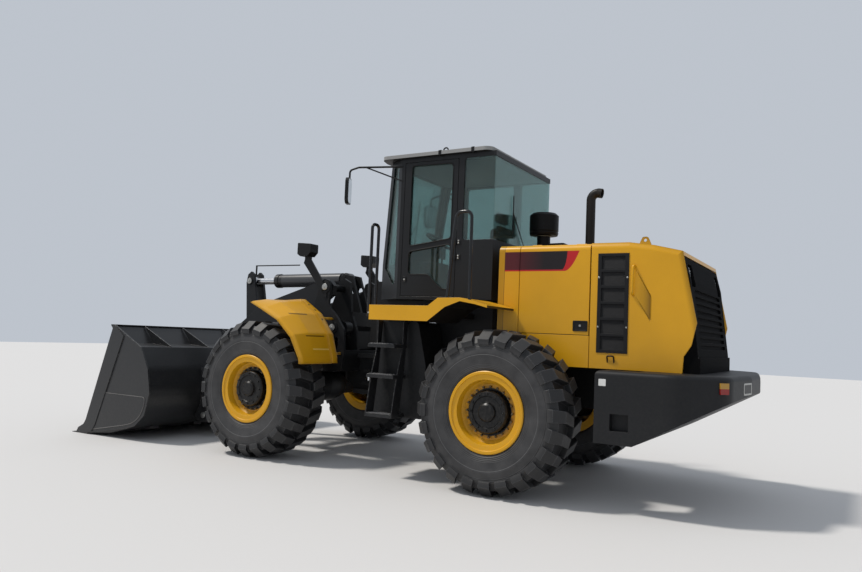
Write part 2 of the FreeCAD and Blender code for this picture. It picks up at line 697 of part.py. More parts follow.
# Platforms over the rear wheels: a pressed deck, raised and thinned over the tyre.
deck_y = (cab_half_width + 60, 1420)
deck_side = [
    (rear(1330), 1590), (rear(1330), 1740), (rear(640), 1740), (rear(530), 1818), (rear(290), 1822),
    (rear(130), 1790), (rear(0), 1752), (rear(0), 1730), (rear(130), 1762), (rear(290), 1788),
    (rear(450), 1730), (rear(640), 1590),
]
deck_blank = prism("platform_blank", "side", deck_side, deck_y)
deck_left = cut("platform_left", deck_blank, [box("deck_notch", (rear(-10), rear(190)), (700, 828), (1600,
    1900))])
node("platforms", gather("platforms", [deck_left, mirrored("platform_right", deck_left)]))

# Ladders: three folded treads between two cranked side plates that hang below each deck.
ladder_y = (1075, 1310)
ladder_x = (rear(1075), rear(1400))
ladder_parts = []
for i, z in enumerate((625, 1020, 1330)):
    tread = box(f"tread_{i}", ladder_x, ladder_y, (z - 18, z + 18))
    ladder_parts.append(cut(f"tread_folded_{i}", tread, [
        box(f"tread_hollow_{i}", (ladder_x[0] + 6, ladder_x[1] - 6), (ladder_y[0] - 5, ladder_y[1] - 6),
            (z - 30, z + 10)),
    ]))
stringer_outline = [(1064, 1590), (1150, 1590), (1150, 1330), (1240, 1020), (1310, 640), (1310, 607), (1180,
    607), (1120, 1000)]
for i, x in enumerate((ladder_x[0], ladder_x[1] - 10)):
    ladder_parts.append(prism(f"stringer_{i}", "end", stringer_outline, (x, x + 10)))
ladder_left = fuse("ladder_left", ladder_parts)
node("ladders", gather("ladders", [ladder_left, mirrored("ladder_right", ladder_left)]))

# Tanks: hydraulic oil on the left and fuel on the right, hung beside the frame.
tank_outline = [(rear(850), 600), (rear(850), 1150), (rear(960), 1590), (rear(1480), 1590), (rear(1480), 600)]
tank_left = prism("tank_left", "side", tank_outline, (frame_half + 260, 1060), rounds=[((0, 1, 2, 4), 40)])
tank_arms = [
    box(f"tank_arm_{i}", (rear(x), rear(x + 50)), (frame_half, frame_half + 265), (1180, 1260))
    for i, x in enumerate((880, 960))
]
tank_set = fuse("tank_set", [tank_left] + tank_arms)
node("tanks", gather("tanks", [tank_set, mirrored("tank_set_right", tank_set)]))

# Cab: a hollow frame with its door opening and windows cut, a roof, panes and a few fittings inside.
cab_rear = rear(290)
cab_front = rear(1790)
cab_corner = rear(1450)
cab_front_half = dim("cab_front_half", 550, "half the flat front of the cab")


def cab_plan(inset):
    half = cab_half_width - inset
    narrow = cab_front_half - inset * 0.5
    return [
        (cab_rear + inset, -half), (cab_corner - inset * 0.2, -half), (cab_front - inset, -narrow),
        (cab_front - inset, narrow), (cab_corner - inset * 0.2, half), (cab_rear + inset, half),
    ]


def front_wedge(name, inset):
    """What the raked front leaves off above the cowl."""
    return prism(
        name, "side",
        [(cab_front - inset, 2240), (rear(1665) - inset, roof_z + 10), (cab_front + 60, roof_z + 10),
         (cab_front + 60, 2240)],
        (-800, 800),
    )


cab_outer = cut(
    "cab_outer", prism("cab_block", "plan", cab_plan(0), (cab_floor_z, roof_z)), [front_wedge("cab_rake", 0)]
)
cab_inner = cut(
    "cab_inner", prism("cab_space", "plan", cab_plan(cab_wall), (cab_floor_z + cab_wall, roof_z - cab_wall)),
    [front_wedge("cab_inner_rake", cab_wall)],
)
window_sill = dim("window_sill", 2470, "lower edge of the rear and side windows")
window_head = dim("window_head", 3345, "upper edge of the windows")
window_round = dim("window_round", 42, "corner of a window")
door_rear = rear(725)
door_fore = rear(1405)
through_side = (600, 900)


def pane_hole(name, points, rounded):
    """A window's outline in one side wall, with the listed corners rounded."""
    return prism(name, "side", points, through_side, rounds=[(rounded, window_round)])


quarter_hole = pane_hole("quarter_left", [
    (cab_rear - 20, window_sill), (rear(655), window_sill), (rear(655), window_head), (cab_rear - 20,
        window_head),
], (1, 2))
right_hole = mirrored("right_window", pane_hole("right_window_left_hand", [
    (door_rear + 20, 2330), (door_fore, 2330), (door_fore, window_head), (door_rear + 20, window_head),
], (0, 1, 2, 3)))
right_low_hole = mirrored("right_low_window", pane_hole("right_low_window_left_hand", [
    (door_rear + 40, 1940), (door_fore, 1940), (door_fore, 2240), (door_rear + 40, 2240),
], (0, 1, 2, 3)))
corner_hole = prism("corner_window_left", "side", [
    (cab_corner + 60, 1960), (cab_front - 60, 2190), (cab_front - 60, 2240),
    (cab_front - 178, window_head), (cab_corner + 60, window_head),
], (480, 820), rounds=[((0, 3, 4), 30)])
corner_holes = [corner_hole, mirrored("corner_window_right", corner_hole)]
cab_windows = [
    box("door_hole", (door_rear, door_fore), through_side, (1870, 3352)),
    box("rear_window", (cab_rear - 50, cab_rear + 100), (-900, 900), (window_sill, window_head)),
    box("front_window", (cab_front - 250, cab_front + 50), (-500, 500), (2250, window_head)),
    quarter_hole, mirrored("quarter_right", quarter_hole), right_hole, right_low_hole,
]
cab_shell = cut("cab_shell", cab_outer, [cab_inner] + cab_windows)
hinge_x = rear(731)
hinge_y = dim("hinge_y", 758, "line of the cab door's hinges")
hinge_levels = ((2265, 2315), (2425, 2475))
knuckle = dim("knuckle", 14, "radius of a hinge knuckle")
hinge_pockets = [
    upright(f"hinge_pocket_{i}", hinge_x, hinge_y, (z0 - 6, z1 + 6), knuckle + 6)
    for i, (z0, z1) in enumerate(hinge_levels)
]
cab_body = node("cab_frame", cut("cab_frame", cab_shell, corner_holes + hinge_pockets))

roof_plan = [(rear(335), -794), (rear(335), 794), (rear(1690), 794), (rear(1745), 620), (rear(1745), -620),
             (rear(1690), -794)]
roof_rim = prism("roof_rim", "plan", roof_plan, (roof_z, roof_z + 42), rounds=[((0, 1), 90), ((2, 3, 4, 5),
    80)])
roof_crown = prism("roof_crown", "end", [
    (-740, roof_z + 40), (740, roof_z + 40), (700, roof_z + 58), (-700, roof_z + 58),
], (rear(390), rear(1690)), rounds=[((2, 3), 12)])
lift_ring = doc.addObject("Part::Torus", "roof_lift_ring")
lift_ring.Radius1 = 28
lift_ring.Radius2 = 8
lift_ring.Placement = FreeCAD.Placement(Vector(), FreeCAD.Rotation(Vector(1, 0, 0), 90))
place(lift_ring, rear(960), 640, roof_z + 84)
node("cab_roof", fuse("cab_roof", [roof_rim, roof_crown, lift_ring, mirrored("roof_lift_ring_right",
    lift_ring)]))

rake = (cab_front - rear(1665)).value / (roof_z - 2240).value
pane_y = (cab_half_width - 16, cab_half_width - 16 + glass)
quarter_pane = common(
    "pane_quarter_left",
    box("quarter_sheet", (cab_rear + 12, rear(660)), pane_y, (window_sill - 10, window_head + 10)),
    quarter_hole)
side_sheet = mirrored(
    "side_sheet", box("side_sheet_left", (door_rear, door_fore + 10), pane_y, (1930, window_head + 10)))
panes = [
    box("pane_rear", (cab_rear + 4, cab_rear + 4 + glass), (-pane_y[1], pane_y[1]), (window_sill,
        window_head)),
    quarter_pane, mirrored("pane_quarter_right", quarter_pane),
    common("pane_right", side_sheet, right_hole), common("pane_right_low", side_sheet, right_low_hole),
]
pane_low = (cab_front - 22 - rake * (2250 - 2240), 2250)
pane_high = (cab_front - 22 - rake * (window_head.value - 2240), window_head)
panes.append(prism(
    "pane_front", "side",
    [pane_low, pane_high, (pane_high[0] + glass, pane_high[1]), (pane_low[0] + glass, pane_low[1])], (-500,
        500),
))
corner_sheet = prism("corner_sheet", "plan", [
    (cab_corner + 40, 701.0), (cab_corner + 40, 710.3), (cab_front - 28, 550.3), (cab_front - 28, 541.0),
], (1900, window_head + 20))
corner_pane = common("pane_corner_left", corner_sheet, corner_hole)
panes += [corner_pane, mirrored("pane_corner_right", corner_pane)]
node("cab_glass", gather("cab_glass", panes))

cab_seat = fuse("cab_seat", [
    box("seat_base", (rear(640), rear(1000)), (-220, 220), (cab_floor_z + cab_wall, 2150)),
    box("seat_cushion", (rear(600), rear(1090)), (-250, 250), (2150, 2270)),
    box("seat_back", (rear(500), rear(620)), (-240, 240), (2200, 2900)),
])
node("seat", cab_seat)
wheel_centre = (rear(1330), 0, 2560)
steering_wheel = doc.addObject("Part::Torus", "steering_ring")
steering_wheel.Radius1 = 200
steering_wheel.Radius2 = 16
steering_wheel.Placement = FreeCAD.Placement(
    Vector(*(val(c) for c in wheel_centre)), FreeCAD.Rotation(Vector(0, 1, 0), -30))
place(steering_wheel, *wheel_centre)
node("controls", fuse("controls", [
    box("dash", (rear(1420), rear(1690)), (-330, 330), (cab_floor_z + cab_wall, 2330)),
    bar("column", (rear(1480), 0, 2300), wheel_centre, 28),
    bar("spoke_a", (rear(1330), -195, 2560), (rear(1330), 195, 2560), 14),
    steering_wheel,
]))

# Cab door: a frame round one tall pane, hung on the rear pillar.
cab_door_y = (cab_half_width - 40, cab_half_width)
door_edge = (door_rear + seam_gap, door_fore - seam_gap)
door_levels = (1870 + 6, 3352 - 6)
door_panel = box("cab_door_panel", door_edge, cab_door_y, door_levels)
door_span = (cab_half_width - 60, cab_half_width + 20)
door_upper_hole = prism("cab_door_window", "side", [
    (door_edge[0] + 62, 2492), (door_edge[0] + 62, 3305), (door_edge[1] - 82, 3315), (door_edge[1] - 82,
        2420),
], door_span, rounds=[((0, 1, 2, 3), window_round)])
door_lower_hole = prism("cab_door_low_window", "side", [
    (door_edge[0] + 62, 1950), (door_edge[0] + 62, 2432), (door_edge[1] - 82, 2362), (door_edge[1] - 82,
        2110),
    (door_edge[0] + 330, 2110), (door_edge[0] + 160, 1950),
], door_span, rounds=[((0, 1, 2, 3), window_round), ((4, 5), 20)])
door_knuckles = [
    upright(f"door_knuckle_{i}", hinge_x, hinge_y, level, knuckle) for i, level in enumerate(hinge_levels)
]
door_leaf = cut("cab_door_leaf", door_panel, [door_upper_hole, door_lower_hole])
node("cab_door", fuse("cab_door", [door_leaf] + door_knuckles))
door_sheet = box("door_sheet", door_edge, (cab_half_width - 24, cab_half_width - 24 + glass), door_levels)
node("cab_door_glass", gather("cab_door_glass", [
    common("door_pane_upper", door_sheet, door_upper_hole), common("door_pane_lower", door_sheet,
        door_lower_hole),
]))

# Handrails: a tall hoop behind the door and a narrow one at the front of each deck.
rail = dim("rail", 16, "radius of a handrail tube")
rail_y = 1385
hoops = [
    [(rear(450), rail_y, 1790), (rear(400), rail_y, 2420), (rear(372), rail_y, 2648), (rear(212), rail_y,
        2648),
     (rear(205), rail_y, 1792)],
    [(rear(1350), 1400, 1620), (rear(1350), 1400, 2570), (rear(1350), 1285, 2570), (rear(1350), 1285, 1620)],
]
rail_bends = (62, 45)
rail_clips = [
    box(f"rail_clip_{i}", (rear(1330), rear(1345)), (y - 12, y + 12), (z, z + 40))
    for i, (y, z) in enumerate(((1400, 1640), (1285, 1640)))
]
rails = [
    cut("rail_hoop", swept("rail_rear", hoops[0], rail, rail_bends[0]), [deck_left]),
    fuse("rail_front_set", [swept("rail_front", hoops[1], rail, rail_bends[1])] + rail_clips),
]
node("handrails", gather("handrails", rails + [mirrored(f"rail_right_{i}", r) for i, r in enumerate(rails)]))

# Mirrors: a bent arm at each front pillar with a round-cornered head.
mirror_arm = swept("mirror_arm", [
    (rear(1430), 740, 3318), (rear(1945), 893, 3318), (rear(2058), 905, 3290), (rear(2060), 905, 2905),
], 11, 40)
mirror_brace = bar("mirror_brace", (rear(1430), 742, 3150), (rear(1860), 868, 3316), 8)
mirror_turn = 25
head = prism(
    "mirror_head", "end", [(-95, -150), (95, -150), (95, 150), (-95, 150)], (-18, 18), rounds=[((0, 1, 2,
        3), 60)],
)
mirror_head = placed_copy("mirror_head", head, rear(2062), 915, 3050)
mirror_head.Placement.Rotation = FreeCAD.Rotation(Vector(0, 0, 1), mirror_turn)
mirror_left = cut("mirror_left", fuse("mirror_bent", [mirror_arm, mirror_brace, mirror_head]), [cab_body])
node("mirrors", gather("mirrors", [mirror_left, mirrored("mirror_right", mirror_left)]))

# Working arm: pins in the side plane, from the front axle and the ground.
boom_pin_x = dim("boom_pin_x", -450, "boom's pin on the tower, from the front axle")
boom_pin_z = dim("boom_pin_z", 1980, "boom's pin above the ground")
bucket_pin_x = dim("bucket_pin_x", 1490, "bucket's pin, from the front axle")
bucket_pin_z = dim("bucket_pin_z", 285, "bucket's pin above the ground")
tilt_base_x = dim("tilt_base_x", -300, "tilt cylinder's base pin")
tilt_base_z = dim("tilt_base_z", 2120, "tilt cylinder's base pin above the ground")
tilt_eye_x = dim("tilt_eye_x", 1310, "tilt cylinder's eye in the rocker")
tilt_eye_z = dim("tilt_eye_z", 2100, "tilt cylinder's eye above the ground")
rocker_x = dim("rocker_x", 1190, "rocker's pin on the boom")
rocker_z = dim("rocker_z", 1450, "rocker's pin above the ground")
rocker_foot_x = dim("rocker_foot_x", 905, "rocker's lower pin")
rocker_foot_z = dim("rocker_foot_z", 835, "rocker's lower pin above the ground")
link_eye_x = dim("link_eye_x", 1437, "link's pin on the bucket")
link_eye_z = dim("link_eye_z", 661, "link's pin above the ground")
lift_base_x = dim("lift_base_x", -590, "lift cylinder's base pin")
lift_base_z = dim("lift_base_z", 1500, "lift cylinder's base pin above the ground")
lift_eye_x = dim("lift_eye_x", 390, "lift cylinder's eye on the boom")
lift_eye_z = dim("lift_eye_z", 1050, "lift cylinder's eye above the ground")
arm_pin = dim("arm_pin", 42, "radius of the arm's pins")
arm_y = (500, 570)

# Front frame: a tower of four plates on the axle, joined by cross walls, with its half of the hinge.
tower_outer = [
    (front(-740), 1000), (front(-720), 1230), (front(-690), 1480), (front(-600), 1700), (front(-560), 2060),
    (front(-470), 2110), (front(-390), 2080), (front(-340), 1900), (front(-150), 1400), (front(260), 1150),
    (front(260), axle_pad_top), (front(-600), axle_pad_top),
]
tower_wall_y = dim("tower_wall_y", 590, "inside of the tower's outer plates")
tower_parts = [
    prism("tower_inner_left", "side", tower_outer, (255, 295)),
    prism("tower_inner_right", "side", tower_outer, (-295, -255)),
    box("tower_floor", (front(-600), front(150)), (-tower_wall_y, tower_wall_y), (axle_pad_top,
        axle_pad_top + 25)),
    box("tower_back", (front(-740), front(-700)), (-tower_wall_y, tower_wall_y), (1000, 1240)),
]
tower_plate_outline = [
    (front(-740), 1000), (front(-768), 1180), (front(-752), 1476), (front(-640), 1630), (front(-505), 1765),
    (front(-520), 1960), (front(-500), 2060), (front(-430), 2080), (front(-375), 2040), (front(-330), 1900),
    (front(-150), 1400), (front(260), 1150), (front(260), axle_pad_top), (front(-600), axle_pad_top),
]
tower_side = prism(
    "tower_outer_left", "side", tower_plate_outline, (tower_wall_y, tower_wall_y + 35),
    rounds=[((1, 2), 60), ((3, 4, 5), 90), ((6, 8), 40)],
)
oval = prism("tower_oval", "side", [
    (front(-672), 1250), (front(-608), 1250), (front(-608), 1390), (front(-672), 1390),
], (tower_wall_y - 10, tower_wall_y + 45), rounds=[((0, 1, 2, 3), 31)])
tower_parts.append(box("tower_front", (front(220), front(260)), (-295, 295), (axle_pad_top, 1150)))
tower_parts.append(box("tower_tie", (front(-620), front(-560)), (-295, 295), (1250, 1700)))
front_hinge = [
    (front(-700), -320), (pivot_x - 40, -130), (pivot_x - 115, -60), (pivot_x - 115, 60), (pivot_x - 40, 130),
    (front(-700), 320),
]
front_lugs = []
for name, z in (("upper", lug_upper_z - 62), ("lower", lug_lower_z + 62)):
    front_lugs.append(prism(f"front_lug_{name}", "plan", front_hinge, (z, z + lug_plate)))
spine = prism(
    "front_spine", "side",
    [(front(-1050), 777), (front(-1050), 1153), (front(-700), 1203), (front(-560), 1203), (front(-560), 900),
     (front(-700), 727)],
    (-255, 255),
)
pin_bores = [upright("hinge_bore", pivot_x, 0, (600, 1300), hinge_pin + pin_gap)]
side_pins = [
    cross_bar("boom_pin", front(boom_pin_x), boom_pin_z, (245, tower_wall_y + 55), arm_pin),
    cross_bar("lift_pin", front(lift_base_x), lift_base_z, (245, tower_wall_y + 55), arm_pin),
]
pin_heads = []
for label, x, z in (("boom", boom_pin_x, boom_pin_z), ("lift", lift_base_x, lift_base_z)):
    pin_heads.append(cross_bar(f"{label}_pin_head", front(x), z, (tower_wall_y + 30, tower_wall_y + 47), 70))
    pin_heads.append(box(
        f"{label}_pin_keeper", (front(x - 25), front(x + 25)), (tower_wall_y + 30, tower_wall_y + 45),
        (z - 130, z)))
plate_bored = cut("tower_plate_cut", tower_side, [oval])
tower_left = node("tower_plate_left", fuse("tower_plate_left", [plate_bored] + side_pins + pin_heads))
tower_right = node("tower_plate_right", mirrored("tower_plate_right", tower_left))
steer_eye_heads = [
    upright(f"steer_eye_head_{side}_{i}", pivot_x + steer_eye_x, steer_eye_y * sign, level, 34)
    for side, sign in (("left", 1), ("right", -1))
    for i, level in enumerate(((steer_z - 97, steer_z - 84), (steer_z + 84, steer_z + 97)))
]
tilt_pin = cross_bar("tilt_pin", front(tilt_base_x), tilt_base_z, (-110, 110), arm_pin)
for side, y0, y1 in (("left", 62, 100), ("right", -100, -62)):
    tower_parts.append(prism(
        f"tilt_ear_{side}", "side",
        [(front(-620), 1650), (front(-440), 2160), (front(-300), 2186), (front(-238), 2120), (front(-300),
            2050),
         (front(-560), 1500)],
        (y0, y1),
    ))
for side, sign in (("left", 1), ("right", -1)):
    for level, z in (("low", steer_z - 85), ("high", steer_z + 55)):
        y0, y1 = (240, steer_eye_y + 55) if sign > 0 else (-steer_eye_y - 55, -240)
        tower_parts.append(box(
            f"front_steer_ear_{side}_{level}", (pivot_x + steer_eye_x - 50, front(-880)), (y0, y1), (z,
                z + 30)))
pin_bores += [
    cross_bar(f"{label}_seat", front(x), z, (-arm_y[1], arm_y[1]), arm_pin)
    for label, x, z in (("boom_pin", boom_pin_x, boom_pin_z), ("lift_pin", lift_base_x, lift_base_z))
]
front_weldment = fuse("front_weldment", tower_parts + front_lugs + [spine])
node("front_chassis", fuse(
    "front_chassis", [cut("front_bored", front_weldment, pin_bores), tilt_pin] + steer_eye_heads))

# Front fenders: a pressed skin behind each front tyre, folded along its length, with a raised inner face.
fender_fold = [
    # y, then (x, z) at the tip, the upper bend, the middle, the lower bend and the lower edge
    (1400, [(-15, 1750), (-190, 1672), (-420, 1562), (-630, 1378), (-760, 1150), (-772, 1096)]),
    (1365, [(-20, 1762), (-205, 1694), (-440, 1586), (-652, 1398), (-785, 1156), (-796, 1096)]),
    (1180, [(-40, 1792), (-255, 1762), (-505, 1640), (-700, 1420), (-802, 1160), (-810, 1096)]),
    (900, [(-60, 1800), (-320, 1800), (-560, 1640), (-735, 1420), (-815, 1160), (-820, 1096)]),
]
skin = dim("skin", 8, "pressed sheet")
wires = []
for y, outline in fender_fold:
    upper = [Vector(val(front(x)), y, z) for x, z in outline]
    lower = [Vector(val(front(x)) + val(skin), y, z - val(skin)) for x, z in reversed(outline)]
    wires.append(Part.makePolygon(upper + lower + [upper[0]]))
fender = doc.addObject("Part::Feature", "fender_left")
fender.Shape = Part.makeLoft(wires, True, True)
fender_inner = prism("fender_inner", "side", [
    (front(-60), 1800), (front(-320), 1815), (front(-575), 1652), (front(-750), 1425), (front(-832), 1160),
    (front(-836), 1096), (front(-812), 1096), (front(-800), 1160), (front(-720), 1410), (front(-550), 1622),
    (front(-312), 1785), (front(-60), 1785),
], (820, 905))
fender_stays = [
    bar("fender_stay_upper", (front(-570), tower_wall_y + 10, 1600), (front(-600), 840, 1600), 15),
    bar("fender_stay_lower", (front(-700), tower_wall_y + 10, 1200), (front(-812), 840, 1200), 15),
]
fender_set = cut(
    "fender_set", fuse("fender_stayed", [fender, fender_inner] + fender_stays), [tower_side])
node("front_fenders", gather("front_fenders", [fender_set, mirrored("fender_set_right", fender_set)]))

# Work lamps: a tapered case with its lens forward, on a folded stalk bolted to the tower plate.
lamp_y = dim("lamp_y", 649, "middle of a work lamp from the centre")
lamp_stalk = prism("lamp_stalk", "side", [
    (front(-480), 1960), (front(-200), 2330), (front(-130), 2330), (front(-110), 2270), (front(-400), 1930),
], (tower_wall_y + 35, tower_wall_y + 60))
lamp_case = prism("lamp_case", "side", [
    (front(-60), 2510), (front(-60), 2375), (front(-105), 2345), (front(-215), 2345), (front(-265), 2395),
    (front(-265), 2495),
], (lamp_y - 71, lamp_y + 71), rounds=[((0, 5), 14)])
lamp_lens = box("lamp_lens", (front(-70), front(-52)), (lamp_y - 58, lamp_y + 58), (2390, 2494))
lamp_foot = box("lamp_foot", (front(-215), front(-125)), (tower_wall_y + 35, tower_wall_y + 60), (2315, 2350))
lamp_joined = fuse("lamp_joined", [lamp_stalk, lamp_foot, lamp_case, lamp_lens])
lamp_left = cut("lamp_left", lamp_joined, [tower_left])
node("work_lamps", gather("work_lamps", [lamp_left, mirrored("lamp_right", lamp_left)]))

# Boom: two cranked arms, a cross tube between them, and the bracket that carries the rocker.
boom_side = [
    (boom_pin_x - 80, 2000), (boom_pin_x - 10, 2070), (boom_pin_x + 100, 2060), (620, 1760), (980, 1500),
    (1050, 1300), (1050, 1100), (1105, 800), (1260, 525), (1470, 380), (1560, 345), (1585, 270), (1540, 200),
    (1450, 185), (1330, 270), (1130, 400), (960, 640), (880, 900), (700, 1070), (520, 1130), (470, 985),
    (390, 950),
    (310, 985), (250, 1160), (-80, 1560), (boom_pin_x - 60, 1890),
]
boom_outline = [(front(x), z) for x, z in boom_side]
boom_parts = [
    prism("boom_arm_left", "side", boom_outline, arm_y),
    prism("boom_arm_right", "side", boom_outline, (-arm_y[1], -arm_y[0])),
    cross_bar("boom_tube", front(740), 1330, (-arm_y[0] - 5, arm_y[0] + 5), 105),
]
for side, sign in (("left", 1), ("right", -1)):
    span = (462, 510) if sign > 0 else (-510, -462)
    boom_parts.append(cross_bar(f"lift_boss_{side}", front(lift_eye_x), lift_eye_z, span, 60))
for side, y0, y1 in (("left", 118, 150), ("right", -150, -118)):
    boom_parts.append(prism(
        f"rocker_bracket_{side}", "side",
        [(front(700), 1240), (front(690), 1400), (front(780), 1440), (front(1130), 1560), (front(1240), 1540),
         (front(1285), 1450), (front(1240), 1370), (front(1120), 1340), (front(800), 1230)],
        (y0, y1),
    ))
boom_bores = []
for side, sign in (("left", 1), ("right", -1)):
    span = (480, 590) if sign > 0 else (-590, -480)
    boom_bores.append(cross_bar(f"boom_bore_{side}", front(boom_pin_x), boom_pin_z, span, arm_pin + pin_gap))
boom_pins = [cross_bar("rocker_pin", front(rocker_x), rocker_z, (-160, 160), arm_pin)]
for side, sign in (("left", 1), ("right", -1)):
    boom_pins.append(cross_bar(
        f"bucket_pin_{side}", front(bucket_pin_x), bucket_pin_z, (440, 630) if sign > 0 else (-630, -440),
        arm_pin))
node("boom", fuse("boom", [cut("boom_bored", fuse("boom_weldment", boom_parts), boom_bores)] + boom_pins))

# Rocker: two plates with a hub on the boom's bracket, an eye for the tilt rod and one for the link.
rocker_outline = [
    (1235, 2115), (1250, 2195), (1300, 2232), (1355, 2190), (1378, 2080), (1340, 1600), (1325, 1440), (1240,
        1330),
    (1090, 1070), (1000, 840), (955, 765), (890, 755), (835, 790), (830, 870), (960, 1150), (1080, 1440),
    (1120, 1560),
    (1205, 1980),
]
rocker_points = [(front(a), b) for a, b in rocker_outline]
rocker_parts = [
    prism("rocker_plate_left", "side", rocker_points, (62, 100)),
    prism("rocker_plate_right", "side", rocker_points, (-100, -62)),
    cross_bar("rocker_hub", front(rocker_x), rocker_z, (-108, 108), 95),
]
rocker_bore = cross_bar("rocker_bore", front(rocker_x), rocker_z, (-120, 120), arm_pin + pin_gap)
rocker_eyes = []
for name, x, z in (("tilt", tilt_eye_x, tilt_eye_z), ("foot", rocker_foot_x, rocker_foot_z)):
    for side, y0, y1 in (("left", 95, 112), ("right", -112, -95)):
        rocker_eyes.append(cross_bar(f"rocker_{name}_head_{side}", front(x), z, (y0, y1), 50))
node("rocker", fuse("rocker", [cut("rocker_bored", fuse("rocker_weldment", rocker_parts),
    [rocker_bore])] + rocker_eyes))

# Link: a bar from the rocker's foot to the bucket.
link_eyes = [
    cross_bar("link_eye_rear", front(rocker_foot_x), rocker_foot_z, (-50, 50), 70),
    cross_bar("link_eye_front", front(link_eye_x), link_eye_z, (-50, 50), 70),
]
link_bar = prism(
    "link_bar", "side",
    [(front(rocker_foot_x), rocker_foot_z + 45), (front(link_eye_x), link_eye_z + 45),
     (front(link_eye_x), link_eye_z - 45), (front(rocker_foot_x), rocker_foot_z - 45)],
    (-35, 35),
)
link_bore = cross_bar("link_bore", front(link_eye_x), link_eye_z, (-60, 60), arm_pin + pin_gap)
node("bucket_link", cut("bucket_link", fuse("link_weldment", link_eyes + [link_bar]), [link_bore]))


def cylinder_pair(name, base, eye, y, bore, rod, barrel_share, rod_start, base_pin, eye_width):
    """A hydraulic cylinder in the side plane: its barrel round the base pin, and its rod with an eye."""
    start = Vector(val(front(base[0])), y, val(base[1]))
    end = Vector(val(front(eye[0])), y, val(eye[1]))
    run = end - start
    along = run.normalize()
    length = (end - start).Length

    def bar_along(label, first, last, radius):
        piece = doc.addObject("Part::Cylinder", label)
        piece.Radius = radius
        piece.Height = last - first
        piece.Placement = FreeCAD.Placement(start + along * first, FreeCAD.Rotation(Vector(0, 0, 1), along))
        return piece

    barrel_end = length * barrel_share
    tube = bar_along(name + "_tube", base_pin * 2 - 3, barrel_end, bore)
    collar = bar_along(name + "_collar", barrel_end - 60, barrel_end, bore + 7)
    base_eye = cross_bar(name + "_base_eye", front(base[0]), base[1], (y - eye_width, y + eye_width),
        base_pin * 2)
    rod_way = bar_along(name + "_way", base_pin * 2 + 20, barrel_end + 10, rod + 0.08)
    base_bore = cross_bar(
        name + "_base_bore", front(base[0]), base[1], (y - eye_width - 10, y + eye_width + 10),
        base_pin + pin_gap)
    barrel = cut(name + "_barrel", fuse(name + "_barrel_solid", [tube, collar, base_eye]), [rod_way,
        base_bore])
    shaft = bar_along(name + "_shaft", rod_start, length - 20, rod)
    rod_eye = cross_bar(name + "_rod_eye", front(eye[0]), eye[1], (y - eye_width, y + eye_width), 68)
    return barrel, fuse(name + "_rod", [shaft, rod_eye])


barrel, rod = cylinder_pair(
    "tilt", (tilt_base_x, tilt_base_z), (tilt_eye_x, tilt_eye_z), 0, 88, 45, 0.735, 480, 42, 50)
node("tilt_barrel", barrel)
gauge = bar("gauge_rod", (front(520), 0, 2320), (front(tilt_eye_x), 0, 2320), 8)
gauge_post = upright("gauge_post", front(tilt_eye_x - 10), 0, (tilt_eye_z + 55, 2325), 12)
node("tilt_rod", fuse("tilt_rod", [rod, gauge, gauge_post]))
lift_barrels, lift_rods = [], []
for side, y in (("left", 397), ("right", -397)):
    barrel, rod = cylinder_pair(
        f"lift_{side}", (lift_base_x, lift_base_z), (lift_eye_x, lift_eye_z), y, 88, 45, 0.84, 120, 42, 60)
    lift_barrels.append(barrel)
    lift_rods.append(rod)
node("lift_barrels", gather("lift_barrels", lift_barrels))
node("lift_rods", gather("lift_rods", lift_rods))

# Steering cylinders beside the hinge, lying flat.
for side, sign in (("left", 1), ("right", -1)):
    start = Vector(val(rear(steer_base_x)), val(steer_base_y) * sign, val(steer_z))
    end = Vector(val(pivot_x + steer_eye_x), val(steer_eye_y) * sign, val(steer_z))
    along = (end - start).normalize()
    length = (end - start).Length
    turn = FreeCAD.Rotation(Vector(0, 0, 1), along)

    def lying(label, first, last, radius):
        piece = doc.addObject("Part::Cylinder", label)
        piece.Radius = radius
        piece.Height = last - first
        piece.Placement = FreeCAD.Placement(start + along * first, turn)
        return piece

    base_eye = upright(f"steer_base_eye_{side}", start.x, start.y, (steer_z - 48, steer_z + 48), 48)
    base_bore = upright(f"steer_base_bore_{side}", start.x, start.y, (steer_z - 50, steer_z + 50),
        steer_pin + pin_gap)
    tube = lying(f"steer_tube_{side}", 40, length * 0.62, 50)
    way = lying(f"steer_way_{side}", 70, length * 0.62 + 10, 25.08)
    node(f"steer_barrel_{side}", cut(
        f"steer_barrel_{side}", fuse(f"steer_barrel_solid_{side}", [base_eye, tube]), [base_bore, way]))
    shaft = lying(f"steer_shaft_{side}", 335, length - 20, 25)
    rod_eye = upright(f"steer_rod_eye_{side}", end.x, end.y, (steer_z - 35, steer_z + 35), 45)
    node(f"steer_rod_{side}", fuse(f"steer_rod_{side}", [shaft, rod_eye]))

# Bucket: a rolled shell with end plates, a spill guard and the ears for its pins.
shell_y = bucket_half_width - 30
bucket_outer = [
    (front(2318), 1425), (front(2092), 1192), (front(1722), 1160), (front(1600), 900), (front(1530), 611),
    (front(1600), 330), (front(1760), 190), (front(1854), 150), (front(2200), 60), (front(2760), 0),
    (front(2760), 25), (front(2204), 90), (front(1864), 180), (front(1777), 217), (front(1627), 347),
    (front(1561), 611), (front(1629), 889), (front(1744), 1132), (front(2106), 1164), (front(2345), 1412),
]
side_plate = [
    (front(2252), 1425), (front(1707), 1157), (front(1560), 900), (front(1499), 611), (front(1570), 330),
    (front(1730), 190), (front(1854), 150), (front(2681), 0), (front(2760), 0), (front(2681), 199),
]
bucket_parts = [prism(
    "bucket_shell", "side", bucket_outer, (-shell_y, shell_y),
    rounds=[((3, 4, 5, 6), 420), ((13, 14, 15, 16), 390)],
)]
